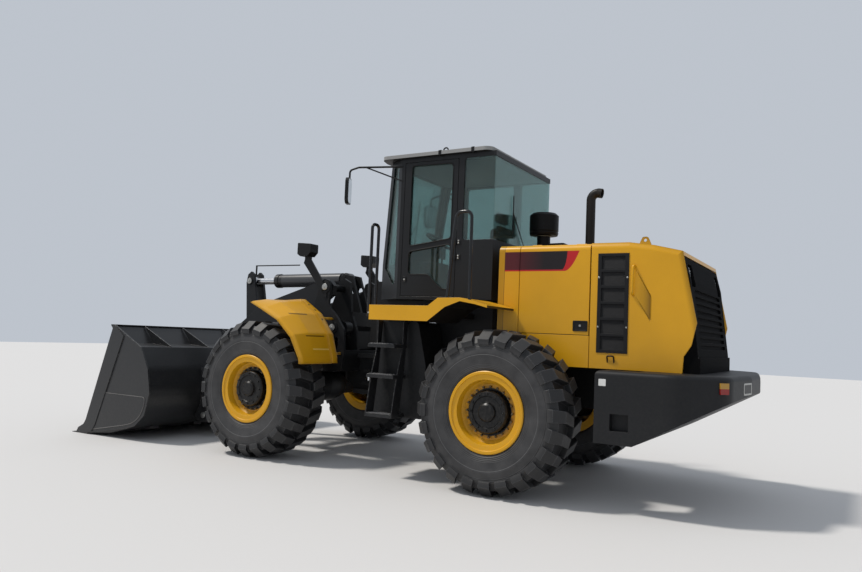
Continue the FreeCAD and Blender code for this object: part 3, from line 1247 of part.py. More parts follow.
bite_strip = [
    (front(2252), 1425), (front(2046), 1283), (front(2496), 128), (front(2560), 45), (front(2660), 5),
    (front(2681), 0), (front(2760), 0), (front(2681), 199),
]
corner_guard = [(front(2700), 20), (front(2860), 20), (front(2830), 70), (front(2730), 120), (front(2690),
    175)]
gusset = [(front(2290), 1419), (front(2080), 1186), (front(1745), 1157), (front(1735), 1166)]
for side, sign in (("left", 1), ("right", -1)):
    for label, outline, y0, y1 in (
        ("end", side_plate, bucket_half_width - 30, bucket_half_width - 12),
        ("bite", bite_strip, bucket_half_width - 14, bucket_half_width),
        ("guard", corner_guard, bucket_half_width - 70, bucket_half_width),
    ):
        span = (y0, y1) if sign > 0 else (-y1, -y0)
        bucket_parts.append(prism(f"bucket_{label}_{side}", "side", outline, span))
    for i, y in enumerate((375, 1000)):
        span = (y - 8, y + 8) if sign > 0 else (-y - 8, 8 - y)
        bucket_parts.append(prism(f"bucket_gusset_{side}_{i}", "side", gusset, span))
bucket_parts.append(box("bucket_lip", (front(2290), front(2345)), (-shell_y, shell_y), (1412, 1425)))
for i, y in enumerate((-1050, -350, 350, 1050)):
    bucket_parts.append(prism(
        f"bucket_wear_strip_{i}", "side", [(front(1900), 105), (front(1900), 145), (front(2600), 60),
            (front(2600), 2)],
        (y - 60, y + 60),
    ))
ear_outline = [
    (1430, 200), (1395, 280), (1415, 370), (1470, 640), (1585, 900), (1612, 880), (1546, 611), (1616, 340),
    (1700, 262), (1560, 195),
]
for i, (y0, y1) in enumerate(((455, 490), (580, 615), (-490, -455), (-615, -580))):
    bucket_parts.append(prism(f"bucket_ear_{i}", "side", [(front(x), z) for x, z in ear_outline], (y0, y1)))
link_ear = [(1380, 590), (1362, 670), (1400, 730), (1585, 840), (1546, 611), (1555, 560)]
for i, (y0, y1) in enumerate(((58, 95), (-95, -58))):
    bucket_parts.append(prism(f"link_ear_{i}", "side", [(front(x), z) for x, z in link_ear], (y0, y1)))
bucket_bores = [
    cross_bar(f"bucket_bore_{side}", front(bucket_pin_x), bucket_pin_z, span, arm_pin + pin_gap)
    for side, span in (("left", (440, 630)), ("right", (-630, -440)))
]
link_pin = cross_bar("link_pin", front(link_eye_x), link_eye_z, (-105, 105), arm_pin)
edge_outline = [(front(2700), 0), (front(2950), 0), (front(2950), 6), (front(2760), 35), (front(2700), 40)]
edge_blank = prism("edge_blank", "side", edge_outline, (-bucket_half_width, bucket_half_width))
node("bucket", fuse("bucket", [
    cut("bucket_bored", fuse("bucket_weldment", bucket_parts), bucket_bores + [edge_blank]), link_pin]))
node("cutting_edge", edge_blank)

doc.recompute()

# Every object must be sound before anything is written.
faults = [o.Name for o in doc.Objects if {"Invalid", "Error"} & set(o.State)]
if faults:
    raise RuntimeError(f"failed objects: {faults}")
os.makedirs("parts", exist_ok=True)
for name, thing in nodes.items():
    shape = thing.Shape
    if shape.isNull() or not shape.isValid() or not shape.Solids:
        raise RuntimeError(f"{name} has no sound solid")
    shape.exportStep(f"parts/{name}.step")
    print(f"{name}: {len(shape.Solids)} solid(s), {shape.Volume / 1e6:.1f} litres")
whole = Part.makeCompound([thing.Shape for thing in nodes.values()])
print(len(nodes), "nodes", whole.BoundBox)
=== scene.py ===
import math

import bmesh
import bpy
import numpy as np
from mathutils import Matrix, Vector


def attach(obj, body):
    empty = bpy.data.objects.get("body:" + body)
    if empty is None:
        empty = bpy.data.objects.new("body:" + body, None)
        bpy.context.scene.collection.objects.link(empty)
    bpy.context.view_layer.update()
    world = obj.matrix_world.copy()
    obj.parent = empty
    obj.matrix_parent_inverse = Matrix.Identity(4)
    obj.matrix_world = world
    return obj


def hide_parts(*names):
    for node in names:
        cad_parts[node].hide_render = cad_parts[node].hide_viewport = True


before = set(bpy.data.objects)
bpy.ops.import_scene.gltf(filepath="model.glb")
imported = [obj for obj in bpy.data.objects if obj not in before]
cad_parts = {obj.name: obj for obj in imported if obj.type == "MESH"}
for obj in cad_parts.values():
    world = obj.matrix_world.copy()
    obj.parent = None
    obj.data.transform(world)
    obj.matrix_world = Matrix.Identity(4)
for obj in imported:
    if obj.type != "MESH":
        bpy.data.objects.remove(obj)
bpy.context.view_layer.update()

# Camera: to the rear left of the machine, about 1.45 m above the ground.
camera = bpy.data.objects.new("camera", bpy.data.cameras.new("camera"))
bpy.context.collection.objects.link(camera)
yaw, pitch, roll = -1.0315, 0.0683, 0.0428
ahead = Vector((math.cos(pitch) * math.cos(yaw), math.cos(pitch) * math.sin(yaw), math.sin(pitch)))
level_right = ahead.cross(Vector((0, 0, 1))).normalized()
level_up = level_right.cross(ahead)
right = level_right * math.cos(roll) + level_up * math.sin(roll)
up = level_up * math.cos(roll) - level_right * math.sin(roll)
camera.matrix_world = Matrix.Translation((-4.9221, 7.4642, 1.448)) @ Matrix((right, up, -ahead)).transposed().to_4x4()
camera.data.sensor_width = 36
camera.data.lens = 30.54
camera.data.clip_end = 200
scene = bpy.context.scene
scene.camera = camera
scene.view_settings.view_transform = "Standard"
scene.cycles.max_bounces = 8
scene.cycles.transparent_max_bounces = 12

# Light: a bright even sky with a soft sun high over the front left.
world = bpy.data.worlds.new("sky")
scene.world = world
world.use_nodes = True
sky = world.node_tree.nodes["Background"]
sky.inputs["Color"].default_value = (0.80, 0.86, 0.95, 1)
sky.inputs["Strength"].default_value = 0.64
sun = bpy.data.objects.new("sun", bpy.data.lights.new("sun", "SUN"))
bpy.context.collection.objects.link(sun)
sun.data.energy = 2.6
sun.data.angle = math.radians(6)
sun.data.color = (1.0, 0.96, 0.90)
sun.rotation_mode = "QUATERNION"
sun.rotation_quaternion = Vector((0.6, 0.3, 1.0)).to_track_quat("Z", "Y")

# Floor: plain pale ground.
ground = bpy.data.meshes.new("ground")
ground.from_pydata([(-40, -40, 0), (40, -40, 0), (40, 40, 0), (-40, 40, 0)], [], [(0, 1, 2, 3)])
floor = bpy.data.objects.new("floor", ground)
bpy.context.collection.objects.link(floor)
floor_paint = bpy.data.materials.new("floor")
floor_paint.use_nodes = True
floor_shader = floor_paint.node_tree.nodes["Principled BSDF"]
floor_shader.inputs["Base Color"].default_value = (0.62, 0.61, 0.60, 1)
floor_shader.inputs["Roughness"].default_value = 0.9
ground.materials.append(floor_paint)


# Frames, axles and tower: rolled and welded plate under a sprayed dark grey coat, with faint orange peel,
# colour drift, dust that settles low down and a little bare edge. Axles are castings in the same coat.
def node_graph(name):
    """A new material, its shader, a helper that adds and joins nodes, and the place in the object."""
    made = bpy.data.materials.new(name)
    made.use_nodes = True
    tree = made.node_tree
    shader = tree.nodes["Principled BSDF"]

    def add(kind, values=None, **links):
        fresh = tree.nodes.new(kind)
        for key, value in (values or {}).items():
            if isinstance(key, int) or key in fresh.inputs:
                fresh.inputs[key].default_value = value
            else:
                setattr(fresh, key, value)
        for key, source in links.items():
            tree.links.new(source, fresh.inputs[int(key[1:]) if key[0] == "i" and key[1:].isdigit() else key])
        return fresh

    return made, shader, add, add("ShaderNodeTexCoord").outputs["Object"]


def feed(node, values):
    """Sets a node's inputs, each to a number, a colour or the socket that drives it."""
    for key, source in values.items():
        if isinstance(source, (tuple, float, int)):
            node.inputs[key].default_value = source
        else:
            node.id_data.links.new(source, node.inputs[key])


def mix(add, share, low, high):
    """Blends two colours or sockets: low where share is 0, high where it is 1."""
    blend = add("ShaderNodeMix", {"data_type": "RGBA"})
    feed(blend, {0: share, 6: low, 7: high})
    return blend.outputs[2]


def ramp(add, source, low, high):
    """A share that runs from 0 where the source is at low to 1 where it is at high."""
    return add("ShaderNodeMapRange", {"From Min": low, "From Max": high}, Value=source).outputs["Result"]


def spread(add, source, low, high):
    """A value that runs from low where the source is 0 to high where it is 1."""
    return add("ShaderNodeMapRange", {"To Min": low, "To Max": high}, Value=source).outputs["Result"]


def sums(add, kind, first, second=0.0):
    """One arithmetic step on sockets or numbers."""
    step = add("ShaderNodeMath", {"operation": kind})
    feed(step, {0: first, 1: second})
    return step.outputs[0]


def product(add, *factors):
    """The factors multiplied from left to right."""
    total = factors[0]
    for factor in factors[1:]:
        total = sums(add, "MULTIPLY", total, factor)
    return total


def axes(add, vector):
    """The x, y and z of a place or of a normal."""
    return add("ShaderNodeSeparateXYZ", Vector=vector).outputs[:3]


def facing_out(add):
    """The surface's true normal."""
    return add("ShaderNodeNewGeometry").outputs["Normal"]


def noise(add, place, scale, detail, roughness=0.5):
    """Fractal noise from 0 to 1."""
    values = {"Scale": scale, "Detail": detail, "Roughness": roughness}
    return add("ShaderNodeTexNoise", values, Vector=place).outputs["Fac"]


def raised(add, height, **below):
    """The normal of a surface lifted by a height in metres."""
    return add("ShaderNodeBump", {"Strength": 1.0, "Distance": 1.0}, Height=height, **below).outputs["Normal"]


def edge_share(add, soft, low, high):
    """How far a rounded normal leans from the true one: 0 on a flat face, 1 on a sharp edge."""
    lean = add("ShaderNodeVectorMath", {"operation": "DOT_PRODUCT"}, i0=soft, i1=facing_out(add)).outputs["Value"]
    return ramp(add, lean, low, high)


def painted(name, colour, rough=0.35, dust=0.25, wear=0.35, drift=0.08, peel=0.03, edge=0.004, coat=0.0, shine=0.30,
            metal=0.0, pattern=None, relief=None):
    """Sprayed steel: noise in object space drifts the colour, settles dust low down and rubs the edges.

    pattern turns (add, place, colour) into the coat's own colour, relief turns (add, place) into a height, and
    metal is a share or turns (add, place) into one.
    """
    made, shader, add, place = node_graph(name)
    broad = noise(add, place, 1.7, 4.0, 0.55)
    fine = noise(add, place, 38.0, 6.0, 0.65)
    grain = noise(add, place, 420.0, 2.0)
    shift = add("ShaderNodeMapRange", {"From Min": 0.3, "From Max": 0.7, "To Min": 1 - drift, "To Max": 1 + drift / 2},
                Value=broad)
    shade = add("ShaderNodeHueSaturation", Value=shift.outputs["Result"])
    feed(shade, {"Color": pattern(add, place, colour) if pattern else colour})
    film = product(add, ramp(add, axes(add, place)[2], 1.9, 0.1), ramp(add, fine, 0.42, 0.70), dust)
    tone = mix(add, film, shade.outputs["Color"], (0.30, 0.27, 0.23, 1))
    soft = add("ShaderNodeBevel", {"Radius": edge, "samples": 4}).outputs[0]
    rubbed = product(add, edge_share(add, soft, 0.985, 0.90), ramp(add, fine, 0.50, 0.66))
    normal = add("ShaderNodeBump", {"Strength": peel, "Distance": 0.002}, Height=grain, Normal=soft).outputs["Normal"]
    feed(shader, {
        "Base Color": mix(add, product(add, rubbed, wear), tone, (0.42, 0.40, 0.37, 1)),
        "Roughness": sums(add, "ADD", spread(add, fine, rough - 0.06, rough + 0.10), product(add, film, 0.35)),
        "Metallic": metal(add, place) if callable(metal) else metal,
        "Normal": raised(add, relief(add, place), Normal=normal) if relief else normal,
        "Specular IOR Level": shine, "Coat Weight": coat, "Coat Roughness": 0.12,
    })
    return made


def dress(material, *names):
    """Gives CAD nodes their finish."""
    for name in names:
        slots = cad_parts[name].data.materials
        slots.clear()
        slots.append(material)


charcoal = painted("charcoal_paint", (0.010, 0.0105, 0.0115, 1), rough=0.42, dust=0.05, wear=0.12, shine=0.2)
dress(charcoal, "rear_axle", "front_axle", "rear_chassis", "drive_shaft", "tanks", "front_chassis",
      "tower_plate_left", "tower_plate_right", "cab_pedestal")
step_paint = painted("step_paint", (0.014, 0.0145, 0.016, 1), rough=0.40, dust=0.06, wear=0.75, edge=0.005, shine=0.3)
dress(step_paint, "ladders")
engine_iron = painted("engine_iron", (0.08, 0.08, 0.08, 1), rough=0.6, dust=0.3, wear=0.2)
dress(engine_iron, "engine")


# Small steel fittings: turned, bent and pressed pieces that are bolted, clipped or welded on. Their shapes are
# profiles turned about an axis, outlines carried between two levels, and round sections carried along paths.
def quads(rows, columns, around=False):
    """Faces of a grid of points numbered row by row; around joins the last column to the first."""
    start = np.arange(rows - 1)[:, None] * columns
    column = np.arange(columns if around else columns - 1)[None, :]
    beside = (column + 1) % columns
    corners = (start + column, start + beside, start + columns + beside, start + columns + column)
    return np.stack(corners, axis=-1).reshape(-1, 4).tolist()


def made_of(name, points, faces, material, body, smooth=0, bevel=0.0):
    """One object from arrays of corners and faces, merged, faced outwards and riding on a body.

    smooth is the angle in degrees above which an edge stays sharp.
    """
    mesh = bpy.data.meshes.new(name)
    mesh.from_pydata(np.asarray(points).reshape(-1, 3).tolist(), [], faces)
    shell = bmesh.new()
    shell.from_mesh(mesh)
    bmesh.ops.remove_doubles(shell, verts=shell.verts, dist=2e-5)
    bmesh.ops.recalc_face_normals(shell, faces=shell.faces)
    shell.to_mesh(mesh)
    shell.free()
    if smooth:
        mesh.shade_smooth()
        mesh.set_sharp_from_angle(angle=math.radians(smooth))
    mesh.materials.append(material)
    piece = bpy.data.objects.new(name, mesh)
    bpy.context.collection.objects.link(piece)
    if bevel:
        edge = piece.modifiers.new("soft_edge", "BEVEL")
        edge.width = bevel
        edge.segments = 2
        edge.limit_method = "ANGLE"
    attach(piece, body)
    return piece


def turned(profile, centre, axis="y", sides=24):
    """A profile of (along, radius) turned about an axis: centre + along * axis + radius * (cos a, sin a)."""
    along, radius = np.asarray(profile, float).T
    a = np.linspace(0, 2 * np.pi, sides, endpoint=False)[None, :]
    ring = (radius[:, None] * np.cos(a), radius[:, None] * np.sin(a), along[:, None] * np.ones_like(a))
    order = {"y": (0, 2, 1), "z": (0, 1, 2), "x": (2, 0, 1)}[axis]
    points = np.stack([ring[i] for i in order], axis=-1) + np.asarray(centre, float)
    return points.reshape(-1, 3), quads(len(profile), sides, around=True)


def carried(path, radius, guide, sides=10, closed=False):
    """A round section carried along a path: point + radius * (cos a * n + sin a * b), n square to path and guide."""
    path = np.asarray(path, float)
    along = (np.roll(path, -1, 0) - np.roll(path, 1, 0)) if closed else np.gradient(path, axis=0)
    along /= np.linalg.norm(along, axis=1, keepdims=True)
    n = np.cross(np.asarray(guide, float), along)
    n /= np.linalg.norm(n, axis=1, keepdims=True)
    b = np.cross(along, n)
    a = np.linspace(0, 2 * np.pi, sides, endpoint=False)[None, :, None]
    points = path[:, None] + radius * (np.cos(a) * n[:, None] + np.sin(a) * b[:, None])
    if closed:
        points = np.concatenate([points, points[:1]])
        return points.reshape(-1, 3), quads(len(path) + 1, sides, around=True)
    points = np.concatenate([path[:1, None] + 0 * points[:1], points, path[-1:, None] + 0 * points[-1:]])
    return points.reshape(-1, 3), quads(len(path) + 2, sides, around=True)


def eased(corners, reach, steps=6, closed=False):
    """A path through corners, each eased by the parabola (1-t)^2 A + 2t(1-t) C + t^2 B, from A before to B after."""
    c = np.asarray(corners, float)
    middle = c if closed else c[1:-1]
    before = np.roll(c, 1, 0) if closed else c[:-2]
    after = np.roll(c, -1, 0) if closed else c[2:]
    start = middle + (before - middle) / np.linalg.norm(before - middle, axis=1, keepdims=True) * reach
    end = middle + (after - middle) / np.linalg.norm(after - middle, axis=1, keepdims=True) * reach
    t = np.linspace(0, 1, steps)[None, :, None]
    path = (1 - t) ** 2 * start[:, None] + 2 * t * (1 - t) * middle[:, None] + t ** 2 * end[:, None]
    path = path.reshape(-1, c.shape[1])
    return path if closed else np.vstack([c[:1], path, c[-1:]])


def rounded(left, right, foot, top, reach):
    """A rectangle with eased corners."""
    return eased([(left, foot), (right, foot), (right, top), (left, top)], reach, closed=True)


def shrunk(outline, share):
    """The outline drawn in towards its own middle."""
    middle = outline.mean(axis=0)
    return (outline - middle) * share + middle


def skinned(rings, caps=()):
    """Rings of points joined into one skin; caps lists the rings that a face closes."""
    count = len(rings[0])
    ends = [list(range(count * (k % len(rings)), count * (k % len(rings) + 1))) for k in caps]
    return np.concatenate(rings), quads(len(rings), count, around=True) + ends


def stacked(plane, *steps, caps=(0, -1)):
    """Outlines, each at its own level, joined into one skin; plane says which way the levels run."""
    order = {"side": (0, 2, 1), "plan": (0, 1, 2), "end": (2, 0, 1)}[plane]
    return skinned([np.column_stack([outline, np.full(len(outline), level)])[:, order] for outline, level in steps],
                   caps)


def slab(outline, plane, low, high):
    """An outline carried from one level to another, closed by a face at each end."""
    return stacked(plane, (outline, low), (outline, high))


def joined(*shapes):
    """Several point and face arrays as one."""
    points = np.concatenate([np.asarray(p).reshape(-1, 3) for p, _ in shapes])
    starts = np.cumsum([0] + [len(np.asarray(p).reshape(-1, 3)) for p, _ in shapes[:-1]])
    return points, [[i + int(s) for i in face] for (_, faces), s in zip(shapes, starts) for face in faces]


def repeated(shape, moves):
    """One shape at several places: its points plus each move."""
    points, faces = shape
    moves = np.asarray(moves, float).reshape(-1, 1, 3)
    count = len(points)
    every = (points[None] + moves).reshape(-1, 3)
    return every, (np.asarray(faces)[None] + count * np.arange(len(moves))[:, None, None]).reshape(-1, 4).tolist()


def flipped(shape, sign=-1):
    """The shape with y times sign: -1 puts it on the other side of the machine."""
    points, faces = shape
    return np.asarray(points) * (1, sign, 1), faces


def both_sides(name, shape, material, body, **finish):
    """One object from a shape and its mirror image."""
    return made_of(name, *joined(shape, flipped(shape)), material, body, **finish)


zinc = painted("zinc_plate", (0.42, 0.42, 0.40, 1), rough=0.35, dust=0.15, wear=0.1, drift=0.2, metal=0.8)

# Bright ends of the working arm's pins: ground steel discs with a grease nipple, kept by their plates.
pin_profile = [(0, 0.040), (0.005, 0.040), (0.007, 0.037), (0.007, 0.010), (0.013, 0.008), (0.016, 0.0)]
for name, body, x, z, y in (
    ("boom_pin_end", "front_frame", 0.635, 1.980, 0.644), ("lift_pin_end", "front_frame", 0.495, 1.500, 0.644),
    ("bucket_pin_end", "arm", 2.575, 0.285, 0.630), ("rocker_pin_end", "arm", 2.275, 1.450, 0.160),
    ("rocker_top_pin_end", "rocker_arm", 2.395, 2.100, 0.112),
    ("rocker_foot_pin_end", "rocker_arm", 1.990, 0.835, 0.112), ("link_pin_end", "loader_bucket", 2.522, 0.661, 0.105),
):
    both_sides(name, turned(pin_profile, (x, y, z)), zinc, body, smooth=40)

# Wheels: welded rims sprayed yellow with a black cast hub, twenty nuts round the disc and a ring of bolts in the
# hub's cover. The coat's colour goes by the distance from the wheel's own axle line.
yellow_colour = (0.66, 0.330, 0.008, 1)
axle_places = {"rear": (-1.915, 0.770), "front": (1.085, 0.770)}


def axle_distance(add, place, x, z):
    """Distance from a wheel's axle line: sqrt((X - x)^2 + (Z - z)^2)."""
    along, _, upward = axes(add, place)
    along, upward = sums(add, "SUBTRACT", along, x), sums(add, "SUBTRACT", upward, z)
    return sums(add, "SQRT", sums(add, "ADD", product(add, along, along), product(add, upward, upward)))


def hub_pattern(x, z, reach):
    """Colour by radius in the side plane: black inside the hub's reach, a ring of grease stain and painted recess shade
    round the nuts, then the yellow.
    """

    def pattern(add, place, colour):
        radius = axle_distance(add, place, x, z)
        # grease stain and painted shade of the recess, darker brown towards the hub
        grease_and_shade = product(add, ramp(add, radius, 0.290, 0.225), ramp(add, noise(add, place, 14.0, 5.0), 0.34, 0.66))
        coat = mix(add, grease_and_shade, colour, (0.150, 0.082, 0.016, 1))
        return mix(add, ramp(add, radius, reach, reach - 0.001), coat, (0.004, 0.004, 0.0045, 1))

    return pattern


def on_circle(count, reach, x, y, z):
    """Places spaced evenly on a circle about an axle: (x + reach cos a, y, z + reach sin a)."""
    a = np.linspace(0, 2 * np.pi, count, endpoint=False)
    return np.column_stack([reach * np.cos(a) + x, 0 * a + y, reach * np.sin(a) + z])


nut = turned([(0, 0.0125), (0.016, 0.0125), (0.019, 0.010), (0.019, 0.007), (0.026, 0.007), (0.026, 0)], (0, 0, 0),
             sides=6)
bolt = turned([(0, 0.010), (0.009, 0.010), (0.011, 0.008), (0.011, 0)], (0, 0, 0), sides=6)
nut_steel = painted("nut_steel", (0.16, 0.115, 0.055, 1), rough=0.42, dust=0.1, wear=0.5, drift=0.3)
hub_black = painted("hub_black", (0.006, 0.006, 0.0065, 1), rough=0.40, dust=0.05, wear=0.3, shine=0.25)
for end, (x, z) in axle_places.items():
    # The front wheel's black reaches 0.245 m: a black hub flange, partly painted shade round the ring of nuts.
    rim_paint = painted(f"rim_paint_{end}", yellow_colour, rough=0.34, dust=0.10, wear=0.10,
                        pattern=hub_pattern(x, z, 0.2215 if end == "rear" else 0.245))
    nuts = repeated(nut, on_circle(20, 0.232, x, 1.277, z))
    bolts = repeated(bolt, on_circle(12, 0.168, x, 1.348, z))
    for side, sign in (("left", 1), ("right", -1)):
        dress(rim_paint, f"rim_{end}_{side}")
        made_of(f"wheel_nuts_{end}_{side}", *flipped(nuts, sign), nut_steel, f"wheel_{end}_{side}", smooth=30)
        made_of(f"hub_bolts_{end}_{side}", *flipped(bolts, sign), hub_black, f"wheel_{end}_{side}", smooth=30)

# Tyres: moulded rubber, near black in the tread and greyer on the sidewalls, where dust has been rubbed in. Mould
# rings run round the bead and the shoulder.
for end, (x, z) in axle_places.items():
    rubber, shader, add, place = node_graph(f"tyre_rubber_{end}")
    radius = axle_distance(add, place, x, z)
    cloud = noise(add, place, 7.0, 7.0, 0.6)
    grit = noise(add, place, 190.0, 4.0, 0.7)
    wall = product(add, ramp(add, radius, 0.66, 0.60), ramp(add, cloud, 0.25, 0.75))
    tone = mix(add, wall, (0.014, 0.014, 0.015, 1), (0.052, 0.051, 0.052, 1))
    worn = product(add, ramp(add, radius, 0.752, 0.764), ramp(add, grit, 0.40, 0.62), 0.55)
    tone = mix(add, worn, tone, (0.105, 0.100, 0.095, 1))
    # A painted highlight: a pale thin line along the raised mould ring at about 0.53 m.
    line = product(add, ramp(add, radius, 0.5275, 0.5285), ramp(add, radius, 0.5325, 0.5315))
    tone = mix(add, product(add, line, 0.6), tone, (0.16, 0.16, 0.165, 1))
    soft = add("ShaderNodeBevel", {"Radius": 0.010, "samples": 4}).outputs[0]
    # Rubbed lug edges and painted highlight: a lighter grey where the edge leans from the face.
    scuffed_and_highlit = product(add, edge_share(add, soft, 0.99, 0.90), ramp(add, grit, 0.35, 0.60),
                      ramp(add, radius, 0.640, 0.655), 0.7)
    wave = sums(add, "SINE", product(add, radius, 420.0))
    bead = product(add, ramp(add, radius, 0.455, 0.445), ramp(add, radius, 0.395, 0.400))
    shoulder = product(add, ramp(add, radius, 0.590, 0.595), ramp(add, radius, 0.622, 0.618))
    rings = product(add, wave, sums(add, "ADD", bead, shoulder))
    rings = sums(add, "ADD", rings, product(add, line, 2.0))
    relief = sums(add, "ADD", product(add, rings, 0.0012), product(add, grit, 0.0006))
    feed(shader, {"Base Color": mix(add, scuffed_and_highlit, tone, (0.17, 0.17, 0.175, 1)),
                  "Roughness": spread(add, cloud, 0.42, 0.66), "Normal": raised(add, relief, Normal=soft)})
    dress(rubber, f"tyre_{end}_left", f"tyre_{end}_right")

# Working arm: heavy plate in a dark grey coat. The cylinders' rods are ground and chromed, and their glands black.
arm_grey = painted("arm_paint", (0.012, 0.0125, 0.014, 1), rough=0.36, dust=0.04, wear=0.15, shine=0.25)
dress(arm_grey, "boom", "rocker", "bucket_link", "lift_barrels", "steer_barrel_left", "steer_barrel_right")


def gland_pattern(add, place, colour):
    """The tube is grey and the gland at its front end is black."""
    return mix(add, ramp(add, axes(add, place)[0], 1.845, 1.847), colour, (0.006, 0.006, 0.0065, 1))


tube_grey = painted("tube_paint", (0.045, 0.046, 0.049, 1), rough=0.30, dust=0.02, wear=0.1, shine=0.5,
                    pattern=gland_pattern)
dress(tube_grey, "tilt_barrel")
chrome, shader, add, place = node_graph("chrome_rod")
haze = noise(add, place, 60.0, 5.0)
feed(shader, {"Metallic": 1.0, "Base Color": mix(add, haze, (0.70, 0.71, 0.73, 1), (0.48, 0.49, 0.50, 1)),
              "Roughness": spread(add, haze, 0.10, 0.28)})
dress(chrome, "lift_rods", "steer_rod_left", "steer_rod_right")
bar_foot = 2.165


def level_bar(add, place, colour):
    """The rod is chrome and the level bar and its post above it are black: colour by height."""
    return mix(add, ramp(add, axes(add, place)[2], bar_foot - 0.001, bar_foot + 0.001), colour,
               (0.012, 0.012, 0.013, 1))


def bare_rod(add, place):
    """Metal below the level bar's foot."""
    return ramp(add, axes(add, place)[2], bar_foot + 0.001, bar_foot - 0.001)


dress(painted("tilt_rod_finish", (0.62, 0.63, 0.65, 1), rough=0.2, dust=0.02, wear=0.0, metal=bare_rod,
              pattern=level_bar), "tilt_rod")

# Bucket: wear plate welded round the lower half of each end, with a bead along its edge. The coat is worn to bare
# steel along its edges, the lip and the cutting edge among them.
bucket_grey = painted("bucket_paint", (0.016, 0.0165, 0.018, 1), rough=0.32, dust=0.05, wear=0.45, edge=0.006,
                      shine=0.45)
dress(bucket_grey, "bucket", "cutting_edge")
wear_outline = eased([(3.640, 0.552), (2.650, 0.552), (2.672, 0.420), (2.742, 0.300), (2.855, 0.222), (3.010, 0.182),
                      (3.770, 0.045)], 0.06, steps=6)
wear_plate = slab(wear_outline, "side", 1.4875, 1.4925)
both_sides("bucket_wear_plates", wear_plate, bucket_grey, "loader_bucket", smooth=30, bevel=0.0015)
# The bead is painted pale grey as a painted highlight along the wear plate's edge.
bead_highlight = painted("weld_bead_highlight", (0.16, 0.155, 0.15, 1), rough=0.5, dust=0.2, wear=0.6, drift=0.3)
bead_line = carried(np.insert(wear_outline, 1, 1.4915, axis=1), 0.0040, (0, 1, 0), sides=8)
both_sides("bucket_weld_beads", bead_line, bead_highlight, "loader_bucket", smooth=60)

# Hood: pressed sheet sprayed yellow. A blank band of dark red and black with a red border runs along the top of
# each side, painted in object space, and the rear panels have a pressed hand pocket beside a bar handle.
hood_side = 0.820


def band_pattern(add, place, colour):
    """Band where z is between two lines and x ahead of a slanted end; red along its foot and its slanted end.

    The sheet ahead of the band's front end is a folded strip behind a groove, both drawn in painted shade: the strip
    darker and the groove a dark line.
    """
    x, y, z = axes(add, place)
    on_side = sums(add, "GREATER_THAN", sums(add, "ABSOLUTE", y), hood_side - 0.03)
    rise = sums(add, "SUBTRACT", z, 2.125)
    above = sums(add, "MAXIMUM", rise)
    end = sums(add, "SUBTRACT", -2.430, product(add, sums(add, "POWER", above, 0.55), 0.355))
    behind = sums(add, "SUBTRACT", x, end)
    inside = product(add, sums(add, "GREATER_THAN", behind), sums(add, "GREATER_THAN", rise),
                     sums(add, "LESS_THAN", z, 2.318), on_side, sums(add, "LESS_THAN", x, -1.800))
    slant = sums(add, "ADD", 0.050, product(add, above, 0.36))
    red = sums(add, "MAXIMUM", sums(add, "LESS_THAN", rise, 0.014), sums(add, "LESS_THAN", behind, slant))
    field = mix(add, ramp(add, x, -2.22, -1.90), (0.010, 0.006, 0.007, 1), (0.085, 0.010, 0.014, 1))
    # painted shade: darker over the folded strip and a dark line at the groove
    fold = product(add, sums(add, "GREATER_THAN", x, -1.797), on_side, 0.45)
    groove = product(add, ramp(add, x, -1.8005, -1.7995), ramp(add, x, -1.7955, -1.7965), 0.85)
    sheet = mix(add, fold, colour, (0.24, 0.135, 0.006, 1))
    sheet = mix(add, groove, sheet, (0.030, 0.016, 0.004, 1))
    return mix(add, inside, sheet, mix(add, red, field, (0.46, 0.012, 0.014, 1)))


def pocket_depth(add, place):
    """Share of the pressed pocket's depth: it grows towards the rear over a slanted four-sided field of each side."""
    x, _, z = axes(add, place)
    back = sums(add, "SUBTRACT", -3.100, x)
    top = sums(add, "SUBTRACT", 2.165, product(add, back, 1.75))
    foot = sums(add, "SUBTRACT", 1.900, product(add, back, 1.60))
    return product(add, ramp(add, sums(add, "SUBTRACT", top, z), 0.0, 0.02),
                   ramp(add, sums(add, "SUBTRACT", z, foot), 0.0, 0.02), sums(add, "GREATER_THAN", back),
                   ramp(add, back, 0.0, 0.145), ramp(add, back, 0.158, 0.145))


def pocket_shade(add, place, colour):
    """The pocket's deep end lies in its own shade."""
    shade = product(add, ramp(add, pocket_depth(add, place), 0.55, 1.0), 0.75)
    return mix(add, shade, colour, (0.12, 0.062, 0.004, 1))


def rolled_edges(add, place):
    """Height of the rear panels: the pocket's depth, and edges rolled over.

    Within 55 mm of an edge the height is -9 (0.055 - d)^2, where d is the distance to the nearest of the side's
    four upper and rear edges, each a straight line, or from the side on faces that look up and back.
    """
    x, y, z = axes(add, place)
    near = sums(add, "SUBTRACT", 2.385, z)
    for rise, slope in ((2.809, 0.1391), (3.115, 0.2327)):
        line = sums(add, "SUBTRACT", sums(add, "ADD", rise, product(add, x, slope)), z)
        near = sums(add, "MINIMUM", near, line)
    near = sums(add, "MINIMUM", near, sums(add, "SUBTRACT", x, sums(add, "ADD", -3.989, product(add, z, 0.2044))))
    on_side = sums(add, "GREATER_THAN", sums(add, "ABSOLUTE", axes(add, facing_out(add))[1]), 0.7)
    inward = sums(add, "SUBTRACT", hood_side, sums(add, "ABSOLUTE", y))
    near = sums(add, "ADD", product(add, near, on_side), product(add, inward, sums(add, "SUBTRACT", 1.0, on_side)))
    short = sums(add, "MAXIMUM", sums(add, "SUBTRACT", 0.055, near))
    return sums(add, "ADD", product(add, short, short, -9.0), product(add, pocket_depth(add, place), -0.035))


